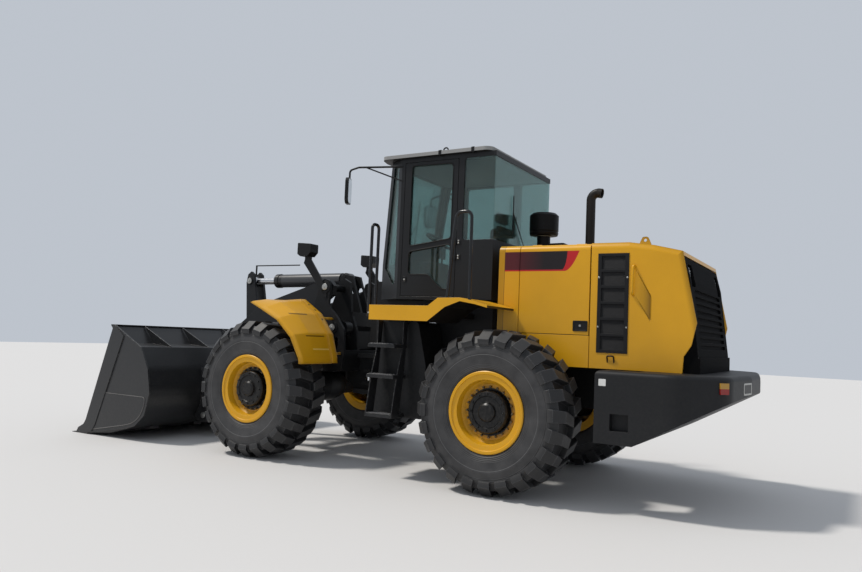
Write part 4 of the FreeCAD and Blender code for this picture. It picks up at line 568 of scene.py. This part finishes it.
yellow = painted("yellow_paint", yellow_colour, rough=0.30, dust=0.06, wear=0.10, coat=0.12, pattern=band_pattern)
dress(yellow, "hood_front", "engine_door_left", "engine_door_right")
pocket_yellow = painted("pocket_yellow", yellow_colour, rough=0.30, dust=0.06, wear=0.10, coat=0.12,
                        pattern=pocket_shade, relief=rolled_edges)
dress(pocket_yellow, "hood_rear")
plain_yellow = painted("plain_yellow", yellow_colour, rough=0.30, dust=0.08, wear=0.15, coat=0.12)
handle_path = eased([(-3.100, 0.812, 2.165), (-3.098, 0.862, 2.170), (-3.092, 0.862, 1.905), (-3.094, 0.812, 1.898)],
                    0.03)
handle_bar = carried(handle_path, 0.011, (1, 0, 0.02), sides=12)
both_sides("hood_side_handles", handle_bar, plain_yellow, "rear_frame", smooth=50)
hook_path = eased([(-2.930, 0.815, 1.275), (-2.930, 0.838, 1.335), (-2.868, 0.838, 1.335), (-2.868, 0.815, 1.275)],
                  0.015)
black_trim = painted("black_trim", (0.007, 0.007, 0.0075, 1), rough=0.38, dust=0.04, wear=0.05, shine=0.25)
hook = carried(hook_path, 0.007, (0, 1, 0.35), sides=8)
both_sides("hood_side_hooks", hook, black_trim, "rear_frame", smooth=50)

# Door latches: a black moulded cup in the lower rear corner of each engine door, with a bright key barrel.
latch_rim = rounded(-2.672, -2.528, 1.552, 1.652, 0.010)
latch_floor = shrunk(latch_rim, (0.84, 0.78))
latch_cup = stacked("side", (latch_rim, hood_side), (latch_rim, 0.826), (latch_floor, 0.826), (latch_floor, 0.8215),
                    caps=(-1,))
key_barrel = turned([(0.8215, 0.011), (0.827, 0.011), (0.828, 0.009), (0.8265, 0.004), (0.8265, 0)],
                    (-2.598, 0, 1.605), sides=20)
for side, sign, body in (("left", 1, "engine_door_l"), ("right", -1, "engine_door_r")):
    made_of(f"door_latch_{side}", *flipped(latch_cup, sign), black_trim, body, smooth=40)
    made_of(f"door_key_{side}", *flipped(key_barrel, sign), zinc, body, smooth=40)

# Side louvres: a black frame of pressed bars with woven wire in each opening, held by four bright screws.
wire_face = 0.81625


def woven(add, place):
    """Woven wire: the higher of two sine waves, along x and along z."""
    x, _, z = axes(add, place)
    waves = [sums(add, "SINE", product(add, along, 780.0)) for along in (x, z)]
    return sums(add, "MAXIMUM", *waves)


def behind_bars(add, place):
    """1 on the wire and 0 on the frame's bars, which stand further out."""
    return ramp(add, sums(add, "ABSOLUTE", axes(add, place)[1]), wire_face + 0.00025, wire_face - 0.00025)


def wire_relief(add, place):
    """The wires stand 1.6 mm high, behind the bars only."""
    return product(add, woven(add, place), 0.0016, behind_bars(add, place))


def wire_pattern(add, place, colour):
    """Painted highlight on the wires and painted shade, black, in the gaps between them, behind the bars only."""
    wires = mix(add, ramp(add, woven(add, place), 0.2, 0.7), (0.004, 0.004, 0.004, 1), (0.030, 0.030, 0.032, 1))
    return mix(add, behind_bars(add, place), colour, wires)


louvre_black = painted("louvre_black", (0.010, 0.010, 0.011, 1), rough=0.42, dust=0.05, wear=0.05, shine=0.2,
                       pattern=wire_pattern, relief=wire_relief)
dress(louvre_black, "side_louvres")
screw = turned([(0, 0.009), (0.003, 0.009), (0.005, 0.006), (0.005, 0)], (0, 0, 0), sides=12)
screw_places = [(x, 0.826, z) for x in (-3.038, -2.772) for z in (2.06, 1.60)]
screws = repeated(screw, screw_places)
both_sides("louvre_screws", screws, zinc, "rear_frame", smooth=40)

# Rear guard: matt black pressed frame and bars over the cooler, with a fluted lamp let into each upper corner.
guard_black = painted("guard_black", (0.0065, 0.0065, 0.007, 1), rough=0.55, dust=0.0, wear=0.35, edge=0.005,
                      shine=0.006)
dress(guard_black, "rear_grille")


def on_guard(z, out):
    """x of the guard's sloping face at a height, less a step outwards: -3.663 + 0.1198 (z - 1.372) - out."""
    return -3.663 + (0.080 / 0.668) * (z - 1.372) - out


lamp_glass, shader, add, place = node_graph("lamp_glass")
_, y, z = axes(add, place)
flutes = sums(add, "SINE", product(add, y, 900.0))
cells = sums(add, "SINE", product(add, z, 260.0))
feed(shader, {"Base Color": mix(add, ramp(add, cells, -1.0, 1.0), (0.50, 0.52, 0.52, 1), (0.74, 0.76, 0.76, 1)),
              "Normal": raised(add, product(add, sums(add, "ADD", flutes, cells), 0.0006)),
              "Metallic": 0.6, "Roughness": 0.12, "Coat Weight": 1.0})


def lens(name, y, half, heights, counts, reach, depth, face, body):
    """A lens that bulges by depth * (1 - (across / reach)^4) * (1 - (up / reach)^4), measured from its middle."""
    across = np.linspace(-half, half, counts[0])[None, :]
    upward = np.linspace(*heights, counts[1])[:, None]
    bulge = depth * (1 - (across / reach[0]) ** 4) * (1 - ((upward - np.mean(heights)) / reach[1]) ** 4)
    points = np.stack([face(upward, bulge), y + across + 0 * upward, upward + 0 * across], axis=-1)
    made_of(name, points, quads(counts[1], counts[0]), lamp_glass, body, smooth=60)


for side, y in (("left", 0.650), ("right", -0.650)):
    lens(f"rear_lamp_{side}", y, 0.072, (2.000, 2.175), (17, 19), (0.075, 0.090), 0.014,
         lambda z, bulge: on_guard(z, bulge - 0.040), "rear_frame")

# Counterweight: one sand casting in the dark coat, with a small blank plate near its front and a light-framed
# pocket in its rear. The tail lamps are red below and amber above under one moulded lens.
cast_grey = painted("casting_paint", (0.015, 0.0155, 0.017, 1), rough=0.46, dust=0.03, wear=0.12, peel=0.05, drift=0.12,
                    shine=0.2)
dress(cast_grey, "counterweight")
blank_white = painted("blank_plate", (0.66, 0.66, 0.64, 1), rough=0.35, dust=0.05, wear=0.05, drift=0.05)
plate_outline = rounded(-2.990, -2.926, 1.082, 1.142, 0.006)
plate_shape = slab(plate_outline, "side", 1.2398, 1.2415)
both_sides("blank_plates", plate_shape, blank_white, "rear_frame", bevel=0.0006)
pocket_frame = rounded(0.312, 0.560, 1.046, 1.152, 0.014)
pocket_inner = shrunk(pocket_frame, (0.86, 0.72))


def on_rear(outline, out):
    """Points on the weight's slightly slanted rear face: x = -4.003 - 0.121 (0.559 - y) - out."""
    return np.column_stack([-4.003 - 0.121 * (0.559 - outline[:, 0]) - out, outline[:, 0], outline[:, 1]])


frame_shape = skinned([on_rear(pocket_frame, -0.002), on_rear(pocket_frame, 0.0018), on_rear(pocket_inner, 0.0018),
                       on_rear(pocket_inner, 0.0003)])
floor_shape = (on_rear(pocket_inner, 0.0005), [list(range(len(pocket_inner)))])
both_sides("rear_pocket_frames", frame_shape, zinc, "rear_frame", smooth=40)
both_sides("rear_pocket_floors", floor_shape, black_trim, "rear_frame")


def lamp_pattern(add, place, colour):
    """Red below the middle of the lamp and amber above it."""
    return mix(add, ramp(add, axes(add, place)[2], 1.1145, 1.1155), colour, (0.40, 0.22, 0.03, 1))


lamp_red = painted("lamp_lens_red", (0.24, 0.010, 0.008, 1), rough=0.16, dust=0.05, wear=0, coat=0.6,
                   pattern=lamp_pattern)
dress(lamp_red, "tail_lamps")


# Exhaust and pre-cleaner: a rolled stack blackened by heat, and a moulded bowl over a clamp ring of bright wire.
def heat_pattern(add, place, colour):
    """A scorched tone that grows towards the stack's mouth, broken up by noise."""
    cloud = noise(add, place, 9.0, 6.0)
    share = product(add, ramp(add, axes(add, place)[2], 2.60, 3.05), ramp(add, cloud, 0.35, 0.75))
    return mix(add, share, colour, (0.022, 0.018, 0.016, 1))


stack_black = painted("stack_finish", (0.009, 0.009, 0.009, 1), rough=0.45, dust=0.0, wear=0.15, shine=0.2,
                      pattern=heat_pattern)
dress(stack_black, "exhaust")
cleaner_black = painted("cleaner_moulding", (0.005, 0.005, 0.0055, 1), rough=0.42, dust=0.0, wear=0.03, peel=0.12,
                        shine=0.15)
dress(cleaner_black, "pre_cleaner")
clamp_ring = on_circle(40, 0.0775, -1.870, 2.590, 0)[:, (0, 2, 1)]
trunk = slab(eased([(-1.955, 2.386), (-1.955, 2.505), (-2.120, 2.508), (-2.190, 2.470), (-2.262, 2.442),
                    (-2.272, 2.386)], 0.015), "side", -0.060, 0.060)
made_of("intake_trunk", *trunk, cleaner_black, "rear_frame", smooth=40, bevel=0.012)
made_of("cleaner_clamp", *carried(clamp_ring, 0.004, (0, 0, 1), sides=8, closed=True), zinc, "rear_frame", smooth=60)


# Decks and fenders: tread plate with small raised lozenges on the decks, with painted shade in near black on their
# faces that look down or back, and smooth pressed sheet on the fenders with drip grooves drawn in painted shade and
# highlight, bolted to their stays.
def tread_relief(add, place):
    """Lozenges where sin(kx) sin(ky) is high, two sets out of step, on faces that look up."""
    x, y, _ = axes(add, place)
    waves = [sums(add, "SINE", product(add, sums(add, kind, x, y), 118.0)) for kind in ("ADD", "SUBTRACT")]
    lozenges = ramp(add, product(add, *waves), 0.35, 0.62)
    return product(add, lozenges, ramp(add, axes(add, facing_out(add))[2], 0.7, 0.9), 0.0022)


def underside_shade(add, place, colour):
    """Painted shade: faces that look down or back over the wheel are painted near black."""
    x, _, z = axes(add, facing_out(add))
    under = sums(add, "MAXIMUM", ramp(add, z, -0.25, -0.45), ramp(add, x, -0.85, -0.95))
    return mix(add, under, colour, (0.010, 0.008, 0.006, 1))


deck_yellow = painted("deck_paint", yellow_colour, rough=0.36, dust=0.10, wear=0.2, coat=0.05, pattern=underside_shade,
                      relief=tread_relief)
dress(deck_yellow, "platforms")


def fender_groove_light_and_bolts(add, place, colour):
    """Painted shade along two drip grooves and a painted highlight along a third, across the skin, and three bolts
    along the raised inner fold.
    """
    x, y, z = axes(add, place)
    out = sums(add, "ABSOLUTE", y)
    near = add("ShaderNodeCombineXYZ", X=x, Y=out, Z=z).outputs[0]
    # groove tones: the two dark ones are painted shade, the pale one a painted highlight
    for level, first, last, tone in ((1.633, 1.038, 1.254, (0.10, 0.055, 0.004, 1)),
                                     (1.393, 0.958, 1.230, (0.07, 0.038, 0.003, 1)),
                                     (1.249, 0.922, 1.179, (0.85, 0.60, 0.16, 1))):
        off = sums(add, "ABSOLUTE", sums(add, "SUBTRACT", z, level))
        line = product(add, ramp(add, off, 0.009, 0.005), ramp(add, out, first, first + 0.005),
                       ramp(add, out, last, last - 0.005), 0.8)
        colour = mix(add, line, colour, tone)
    for spot in ((0.668, 0.872, 1.754), (0.570, 0.872, 1.693), (0.455, 0.872, 1.590)):
        away = add("ShaderNodeVectorMath", {"operation": "DISTANCE", 1: spot}, i0=near).outputs["Value"]
        colour = mix(add, ramp(add, away, 0.016, 0.012), colour, (0.02, 0.015, 0.010, 1))
    return colour


fender_yellow = painted("fender_paint", yellow_colour, rough=0.30, dust=0.06, wear=0.0, edge=0.045, coat=0.12,
                        pattern=fender_groove_light_and_bolts)
dress(fender_yellow, "front_fenders")

# Ladder treads: grip plates laid on the three rungs of each ladder, with two rows of raised, pierced teeth.
grip_steel = painted("grip_steel", (0.10, 0.10, 0.105, 1), rough=0.45, dust=0.1, wear=0.5, drift=0.2)
tooth = turned([(0, 0.011), (0.004, 0.008), (0.004, 0.005), (0.001, 0.004)], (0, 0, 0), axis="z", sides=8)
low_x, high_x, far_y = -0.815, -0.525, 1.302
for name, near_y, z in (("lower", 1.200, 0.6450), ("middle", 1.200, 1.0400), ("upper", 1.180, 1.3500)):
    plate = slab([(low_x, near_y), (high_x, near_y), (high_x, far_y), (low_x, far_y)], "plan", z - 0.002, z + 0.002)
    spots = [(x, y, z + 0.002) for x in np.linspace(low_x + 0.025, high_x - 0.025, 8)
             for y in (near_y + 0.018, far_y - 0.018)]
    both_sides(f"grip_plates_{name}", joined(plate, repeated(tooth, spots)), grip_steel, "rear_frame", smooth=40)

# Handrails: bent steel tube in glossy black, with hex bolts through the clips at its feet.
rail_black = painted("rail_paint", (0.006, 0.006, 0.0065, 1), rough=0.22, dust=0.03, wear=0.10, coat=0.3)
dress(rail_black, "handrails")
rail_bolts = repeated(bolt, [(-0.5775, y, 1.660) for y in (1.412, 1.297)])
both_sides("handrail_bolts", rail_bolts, zinc, "rear_frame", smooth=30)

# Cab: folded and welded section in dark grey; its roof is a pale moulding with a dark underside, held down by
# clips, and a lined ceiling hangs inside.
cab_grey = painted("cab_paint", (0.012, 0.0125, 0.0135, 1), rough=0.32, dust=0.03, wear=0.06, shine=0.25)
dress(cab_grey, "cab_frame", "cab_door")


def roof_pattern(add, place, colour):
    """Pale above the roof's lower lip and black beneath it; the lifting rings are black too."""
    height = axes(add, place)[2]
    above = mix(add, ramp(add, height, 3.402, 3.404), (0.008, 0.008, 0.009, 1), colour)
    return mix(add, ramp(add, height, 3.459, 3.461), above, (0.008, 0.008, 0.009, 1))


roof_grey = painted("roof_moulding", (0.27, 0.27, 0.265, 1), rough=0.5, dust=0.1, wear=0.05, peel=0.15,
                    pattern=roof_pattern)
dress(roof_grey, "cab_roof")
clip_outline = [(0.760, 3.392), (0.797, 3.392), (0.799, 3.400), (0.799, 3.444), (0.792, 3.450), (0.752, 3.450),
                (0.752, 3.4435), (0.793, 3.4415), (0.7945, 3.437), (0.7945, 3.402), (0.792, 3.3985), (0.760, 3.3985)]
clips = joined(slab(clip_outline, "end", -0.985, -0.953), slab(clip_outline, "end", -1.384, -1.352))
both_sides("roof_clips", clips, black_trim, "rear_frame", bevel=0.0008)
lining = painted("ceiling_lining", (0.16, 0.155, 0.145, 1), rough=0.85, dust=0.0, wear=0.0, drift=0.12, peel=0.4)
lining_plan = eased([(-1.560, -0.660), (-0.330, -0.640), (-0.330, 0.640), (-1.560, 0.660)], 0.10, closed=True)
lining_shape = stacked("plan", (lining_plan, 3.354), (lining_plan, 3.349), (shrunk(lining_plan, 0.93), 3.338))
made_of("ceiling_lining", *lining_shape, lining, "rear_frame", smooth=50)

# Window glass: toughened panes with a green tint, bonded in black seals; a thin film of dust lies on them.
tinted, shader, add, place = node_graph("tinted_glass")
shader.inputs["Base Color"].default_value = (0.32, 0.38, 0.34, 1)
clear = add("ShaderNodeBsdfTransparent", {"Color": (0.60, 0.72, 0.71, 1)})
polish = add("ShaderNodeBsdfGlossy", {"Color": (0.85, 0.92, 0.90, 1), "Roughness": 0.03})
share = product(add, add("ShaderNodeFresnel", {"IOR": 1.45}).outputs[0], 0.55)
pane = add("ShaderNodeMixShader", i0=sums(add, "ADD", share, 0.03), i1=clear.outputs[0], i2=polish.outputs[0])
dust_film = spread(add, noise(add, place, 5.0, 6.0), 0.01, 0.09)
hazed = add("ShaderNodeMixShader", i0=dust_film, i1=pane.outputs[0], i2=shader.outputs[0])
feed(tinted.node_tree.nodes["Material Output"], {"Surface": hazed.outputs[0]})
dress(tinted, "cab_glass", "cab_door_glass")

seal_rubber = painted("seal_rubber", (0.008, 0.008, 0.008, 1), rough=0.55, dust=0.1, wear=0.0, drift=0.1, peel=0.3)
for name, body, level, outline in (
    ("door_seal_upper", "door", 0.7505, [(-1.122, 2.492), (-1.122, 3.305), (-0.598, 3.315), (-0.598, 2.420)]),
    ("door_seal_lower", "door", 0.7505,
     [(-1.122, 1.950), (-1.122, 2.432), (-0.598, 2.362), (-0.598, 2.110), (-0.854, 2.110), (-1.024, 1.950)]),
    ("right_window_seal", "rear_frame", -0.7505,
     [(-1.170, 2.330), (-0.510, 2.330), (-0.510, 3.345), (-1.170, 3.345)]),
    ("right_low_window_seal", "rear_frame", -0.7505,
     [(-1.150, 1.940), (-0.510, 1.940), (-0.510, 2.240), (-1.150, 2.240)]),
):
    path = np.insert(eased(outline, 0.042, steps=7, closed=True), 1, level, axis=1)
    made_of(name, *carried(path, 0.006, (0, 1, 0), sides=8, closed=True), seal_rubber, body, smooth=60)

# Door fittings: welded hinge leaves with bright bolts, a moulded pull panel on the inside, and a push-button
# handle let into the lower rail.
leaf_face, hinge_heights = 0.756, (2.290, 2.450)
for name, body, outline in (
    ("door_hinge_straps", "door", [(-1.180, -0.022), (-1.132, -0.018), (-1.132, 0.018), (-1.180, 0.022)]),
    ("cab_hinge_leaves", "rear_frame", [(-1.246, -0.028), (-1.202, -0.028), (-1.202, 0.028), (-1.246, 0.028)]),
):
    leaves = repeated(slab(outline, "side", 0.7495, leaf_face), [(0, 0, z) for z in hinge_heights])
    made_of(name, *leaves, cab_grey, body, bevel=0.0015)
for name, body, x, steps in (("cab_hinge_bolts", "rear_frame", -1.224, (-0.012, 0.012)),
                             ("door_hinge_bolts", "door", -1.155, (0.0,))):
    spots = [(x, leaf_face, z + step) for z in hinge_heights for step in steps]
    made_of(name, *repeated(bolt, spots), zinc, body, smooth=30)
pull_outline = eased([(-0.526, 2.389), (-0.915, 2.421), (-0.906, 2.263), (-0.539, 2.242)], 0.018, closed=True)
pull_slot = eased([(-0.600, 2.350), (-0.790, 2.366), (-0.786, 2.306), (-0.606, 2.292)], 0.012, closed=True)
pull_panel = stacked("side", (pull_outline, 0.712), (pull_outline, 0.700), (pull_slot, 0.700), (pull_slot, 0.709),
                     caps=(-1, 0))
made_of("door_pull_panel", *pull_panel, black_trim, "door", smooth=40)
button_cup = rounded(-0.585, -0.535, 2.025, 2.085, 0.012)
inner_cup = shrunk(button_cup, 0.7)
handle = stacked("side", (button_cup, 0.7495), (button_cup, 0.757), (inner_cup, 0.757), (inner_cup, 0.752),
                 caps=(-1,))
made_of("door_handle", *handle, black_trim, "door", smooth=40)
lock_barrel = turned([(0.752, 0.010), (0.758, 0.010), (0.759, 0.006), (0.759, 0)], (-0.560, 0, 2.055), sides=20)
made_of("door_lock", *lock_barrel, zinc, "door", smooth=40)


# Wipers: a pressed arm and a rubber blade, one over the windscreen and one over the rear pane.
def bar_of(start, end, half, thick, out):
    """A flat bar between two points: start or end plus or minus half across and thick along out."""
    start, end, out = (np.asarray(v, float) for v in (start, end, out))
    across = np.cross((end - start) / np.linalg.norm(end - start), out) * half
    ring = [(-1, 0), (1, 0), (0.8, 1), (-0.8, 1)]
    points = [p + across * a + out * thick * b for p in (start, end) for a, b in ring]
    return np.array(points), quads(2, 4, around=True) + [[0, 1, 2, 3], [4, 5, 6, 7]]


screen_out = np.array([math.cos(0.1074), 0, math.sin(0.1074)])
front_pivot = np.array([-0.118, 0.30, 2.262])
front_tip = np.array([-0.1655, -0.11, 2.800])
blade_mid = front_tip + screen_out * 0.004
blade_half = np.array([-0.0300, 0.0, 0.278])
rear_out = np.array([-1.0, 0, 0])
rear_pivot = np.array([-1.6270, -0.02, 2.452])
rear_tip = np.array([-1.6270, 0.30, 2.800])
wiper = joined(
    bar_of(front_pivot + screen_out * 0.004, front_tip + screen_out * 0.012, 0.009, 0.006, screen_out),
    bar_of(blade_mid - blade_half, blade_mid + blade_half, 0.007, 0.012, screen_out),
    turned([(-0.004, 0.018), (0.022, 0.018), (0.026, 0.012), (0.026, 0)], front_pivot, axis="x", sides=16),
    bar_of(rear_pivot + rear_out * 0.010, rear_tip + rear_out * 0.010, 0.008, 0.005, rear_out),
    bar_of(rear_tip + (-0.001, 0, -0.20), rear_tip + (-0.001, 0, 0.20), 0.006, 0.010, rear_out),
    turned([(0.004, 0.016), (-0.018, 0.016), (-0.022, 0.010), (-0.022, 0)], rear_pivot, axis="x", sides=16),
)
made_of("wipers", *wiper, black_trim, "rear_frame", bevel=0.001)

# Mirrors: black moulded heads on bent tube, each with a flat glass let into its rear face.
dress(black_trim, "mirrors", "work_lamps")
mirror_glass, shader, add, place = node_graph("mirror_glass")
smear = noise(add, place, 22.0, 5.0)
feed(shader, {"Metallic": 1.0, "Roughness": spread(add, smear, 0.03, 0.12),
              "Base Color": mix(add, ramp(add, smear, 0.35, 0.75), (0.62, 0.66, 0.68, 1), (0.50, 0.53, 0.54, 1))})
glass_points, glass_faces = slab(rounded(-0.082, 0.082, -0.137, 0.137, 0.05), "end", -0.0215, -0.0180)
turn = math.radians(25)
turned_glass = np.column_stack([
    glass_points[:, 0] * math.cos(turn) - glass_points[:, 1] * math.sin(turn) + 0.147,
    glass_points[:, 0] * math.sin(turn) + glass_points[:, 1] * math.cos(turn) + 0.915,
    glass_points[:, 2] + 3.050,
])
both_sides("mirror_glasses", (turned_glass, glass_faces), mirror_glass, "rear_frame", bevel=0.001)

# Work lamps: a fluted lens in the front of each case, held by a black rim.
for side, y in (("left", 0.649), ("right", -0.649)):
    lens(f"work_lamp_lens_{side}", y, 0.054, (2.394, 2.490), (15, 13), (0.056, 0.050), 0.010,
         lambda z, bulge: 1.0325 + bulge + 0 * z, "front_frame")

# Driver's place: moulded dash and console in black, a monitor on a stalk, and two levers with turned knobs.
dress(black_trim, "controls")
monitor = slab(rounded(-0.13, 0.13, 2.400, 2.560, 0.015), "end", -0.420, -0.395)
monitor = (monitor[0] * (1, 0.55, 1) + (0, -0.31, 0), monitor[1])
stalk = carried([(-0.41, -0.31, 2.32), (-0.41, -0.31, 2.42)], 0.012, (0, 1, 0), sides=10)
console = slab(eased([(-1.250, 2.190), (-0.830, 2.190), (-0.790, 2.330), (-0.860, 2.380), (-1.250, 2.350)], 0.03,
                     closed=True), "side", -0.420, -0.290)
lever = [carried(eased([(x, -0.355, 2.35), (x + 0.01, -0.355, 2.43), (x + 0.035, -0.350, 2.485)], 0.03), 0.007,
                 (0, 1, 0), sides=8) for x in (-0.925, -0.865)]
knobs = [turned([(-0.030, 0.0), (-0.028, 0.010), (-0.010, 0.019), (0.010, 0.020), (0.024, 0.013), (0.030, 0)],
                (x + 0.038, -0.350, 2.505), axis="z", sides=16) for x in (-0.925, -0.865)]
made_of("driver_controls", *joined(monitor, stalk, console, *lever, *knobs), black_trim, "rear_frame", smooth=40)
screen, shader, add, place = node_graph("monitor_screen")
smudge = mix(add, noise(add, place, 30.0, 4.0), (0.010, 0.014, 0.016, 1), (0.020, 0.026, 0.028, 1))
feed(shader, {"Base Color": smudge, "Roughness": 0.12})
screen_panel = slab(rounded(-0.372, -0.248, 2.418, 2.542, 0.006), "end", -0.4215, -0.4195)
made_of("monitor_screen", *screen_panel, screen, "rear_frame")

# Driver's seat: foam cushions in dark woven cloth on a rubber bellows, held by a pan and a back shell. The pads are
# blocks inflated by cloth simulation.
cloth, shader, add, place = node_graph("seat_cloth")
x, y, z = axes(add, place)
weave = product(add, *[sums(add, "SINE", product(add, along, 2400.0)) for along in (y, sums(add, "ADD", x, z))])
fleck = ramp(add, noise(add, place, 160.0, 4.0), 0.35, 0.65)
seam = sums(add, "ABSOLUTE", sums(add, "SUBTRACT", sums(add, "ABSOLUTE", y), 0.145))
channel = product(add, ramp(add, seam, 0.006, 0.0), -0.004)
feed(shader, {"Base Color": mix(add, fleck, (0.022, 0.023, 0.026, 1), (0.060, 0.062, 0.068, 1)),
              "Roughness": 0.9, "Sheen Weight": 0.25,
              "Normal": raised(add, sums(add, "ADD", channel, product(add, weave, 0.0002)))})


def pad(name, low, high, cap):
    """A cushion: a block between two corners is remeshed, inflated as cloth for 20 frames and capped in its travel.

    Each point ends at start + move * min(1, cap / |move|).
    """
    low, high = np.array(low), np.array(high)
    shape = bmesh.new()
    bmesh.ops.create_cube(shape, size=1.0)
    mesh = bpy.data.meshes.new(name)
    shape.to_mesh(mesh)
    shape.free()
    place = np.empty(24)
    mesh.vertices.foreach_get("co", place)
    mesh.vertices.foreach_set("co", (place.reshape(-1, 3) * (high - low) + (low + high) / 2).ravel())
    piece = bpy.data.objects.new(name, mesh)
    bpy.context.collection.objects.link(piece)
    for kind, values in (("BEVEL", {"width": 0.030, "segments": 3}),
                         ("REMESH", {"mode": "VOXEL", "voxel_size": 0.007})):
        step = piece.modifiers.new(kind, kind)
        for key, value in values.items():
            setattr(step, key, value)
    depsgraph = bpy.context.evaluated_depsgraph_get()
    fine = bpy.data.meshes.new_from_object(piece.evaluated_get(depsgraph))
    piece.modifiers.clear()
    piece.data = fine
    start = np.empty(len(fine.vertices) * 3)
    fine.vertices.foreach_get("co", start)
    start = start.reshape(-1, 3)
    puff = piece.modifiers.new("puff", "CLOTH")
    puff.settings.use_pressure = True
    puff.settings.uniform_pressure_force = 4.0
    puff.settings.effector_weights.gravity = 0.0
    puff.settings.quality = 5
    puff.point_cache.frame_end = 20
    for frame_number in range(1, 21):
        scene.frame_set(frame_number)
    depsgraph = bpy.context.evaluated_depsgraph_get()
    swollen = bpy.data.meshes.new_from_object(piece.evaluated_get(depsgraph))
    piece.modifiers.clear()
    end = np.empty(len(swollen.vertices) * 3)
    swollen.vertices.foreach_get("co", end)
    move = end.reshape(-1, 3) - start
    reach = np.linalg.norm(move, axis=1, keepdims=True)
    piece.data = swollen
    swollen.vertices.foreach_set("co", (start + move * np.minimum(1, cap / np.maximum(reach, 1e-9))).ravel())
    scene.frame_set(1)
    piece.data.shade_smooth()
    piece.data.materials.append(cloth)
    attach(piece, "rear_frame")
    return piece


pads = [
    pad("seat_cushion", (-1.300, -0.235, 2.165), (-0.840, 0.235, 2.255), 0.015),
    pad("seat_back", (-1.400, -0.225, 2.300), (-1.315, 0.225, 2.680), 0.015),
    pad("seat_head_rest", (-1.395, -0.130, 2.745), (-1.325, 0.130, 2.875), 0.012),
]
folds = 9
bellows_plan = rounded(-1.240, -0.930, -0.190, 0.190, 0.05)
middle = bellows_plan.mean(axis=0)
outward = (bellows_plan - middle) / np.linalg.norm(bellows_plan - middle, axis=1, keepdims=True)
bellows = stacked("plan", *[(bellows_plan - outward * (0.0 if step % 2 else 0.022), level)
                            for step, level in enumerate(np.linspace(1.900, 2.120, 2 * folds + 1))])
pan = slab(rounded(-1.310, -0.870, -0.225, 0.225, 0.04), "plan", 2.118, 2.158)
back_shell = slab(eased([(-1.412, 2.160), (-1.330, 2.160), (-1.345, 2.300), (-1.402, 2.700), (-1.412, 2.700)], 0.02,
                        closed=True), "side", -0.205, 0.205)
posts = [carried([(-1.370, y, 2.66), (-1.365, y, 2.76)], 0.007, (0, 1, 0), sides=8) for y in (-0.06, 0.06)]
carriage = made_of("seat_carriage", *joined(bellows, pan, back_shell, *posts), seal_rubber, "rear_frame", smooth=35)
for piece in pads + [carriage]:
    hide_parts("seat")
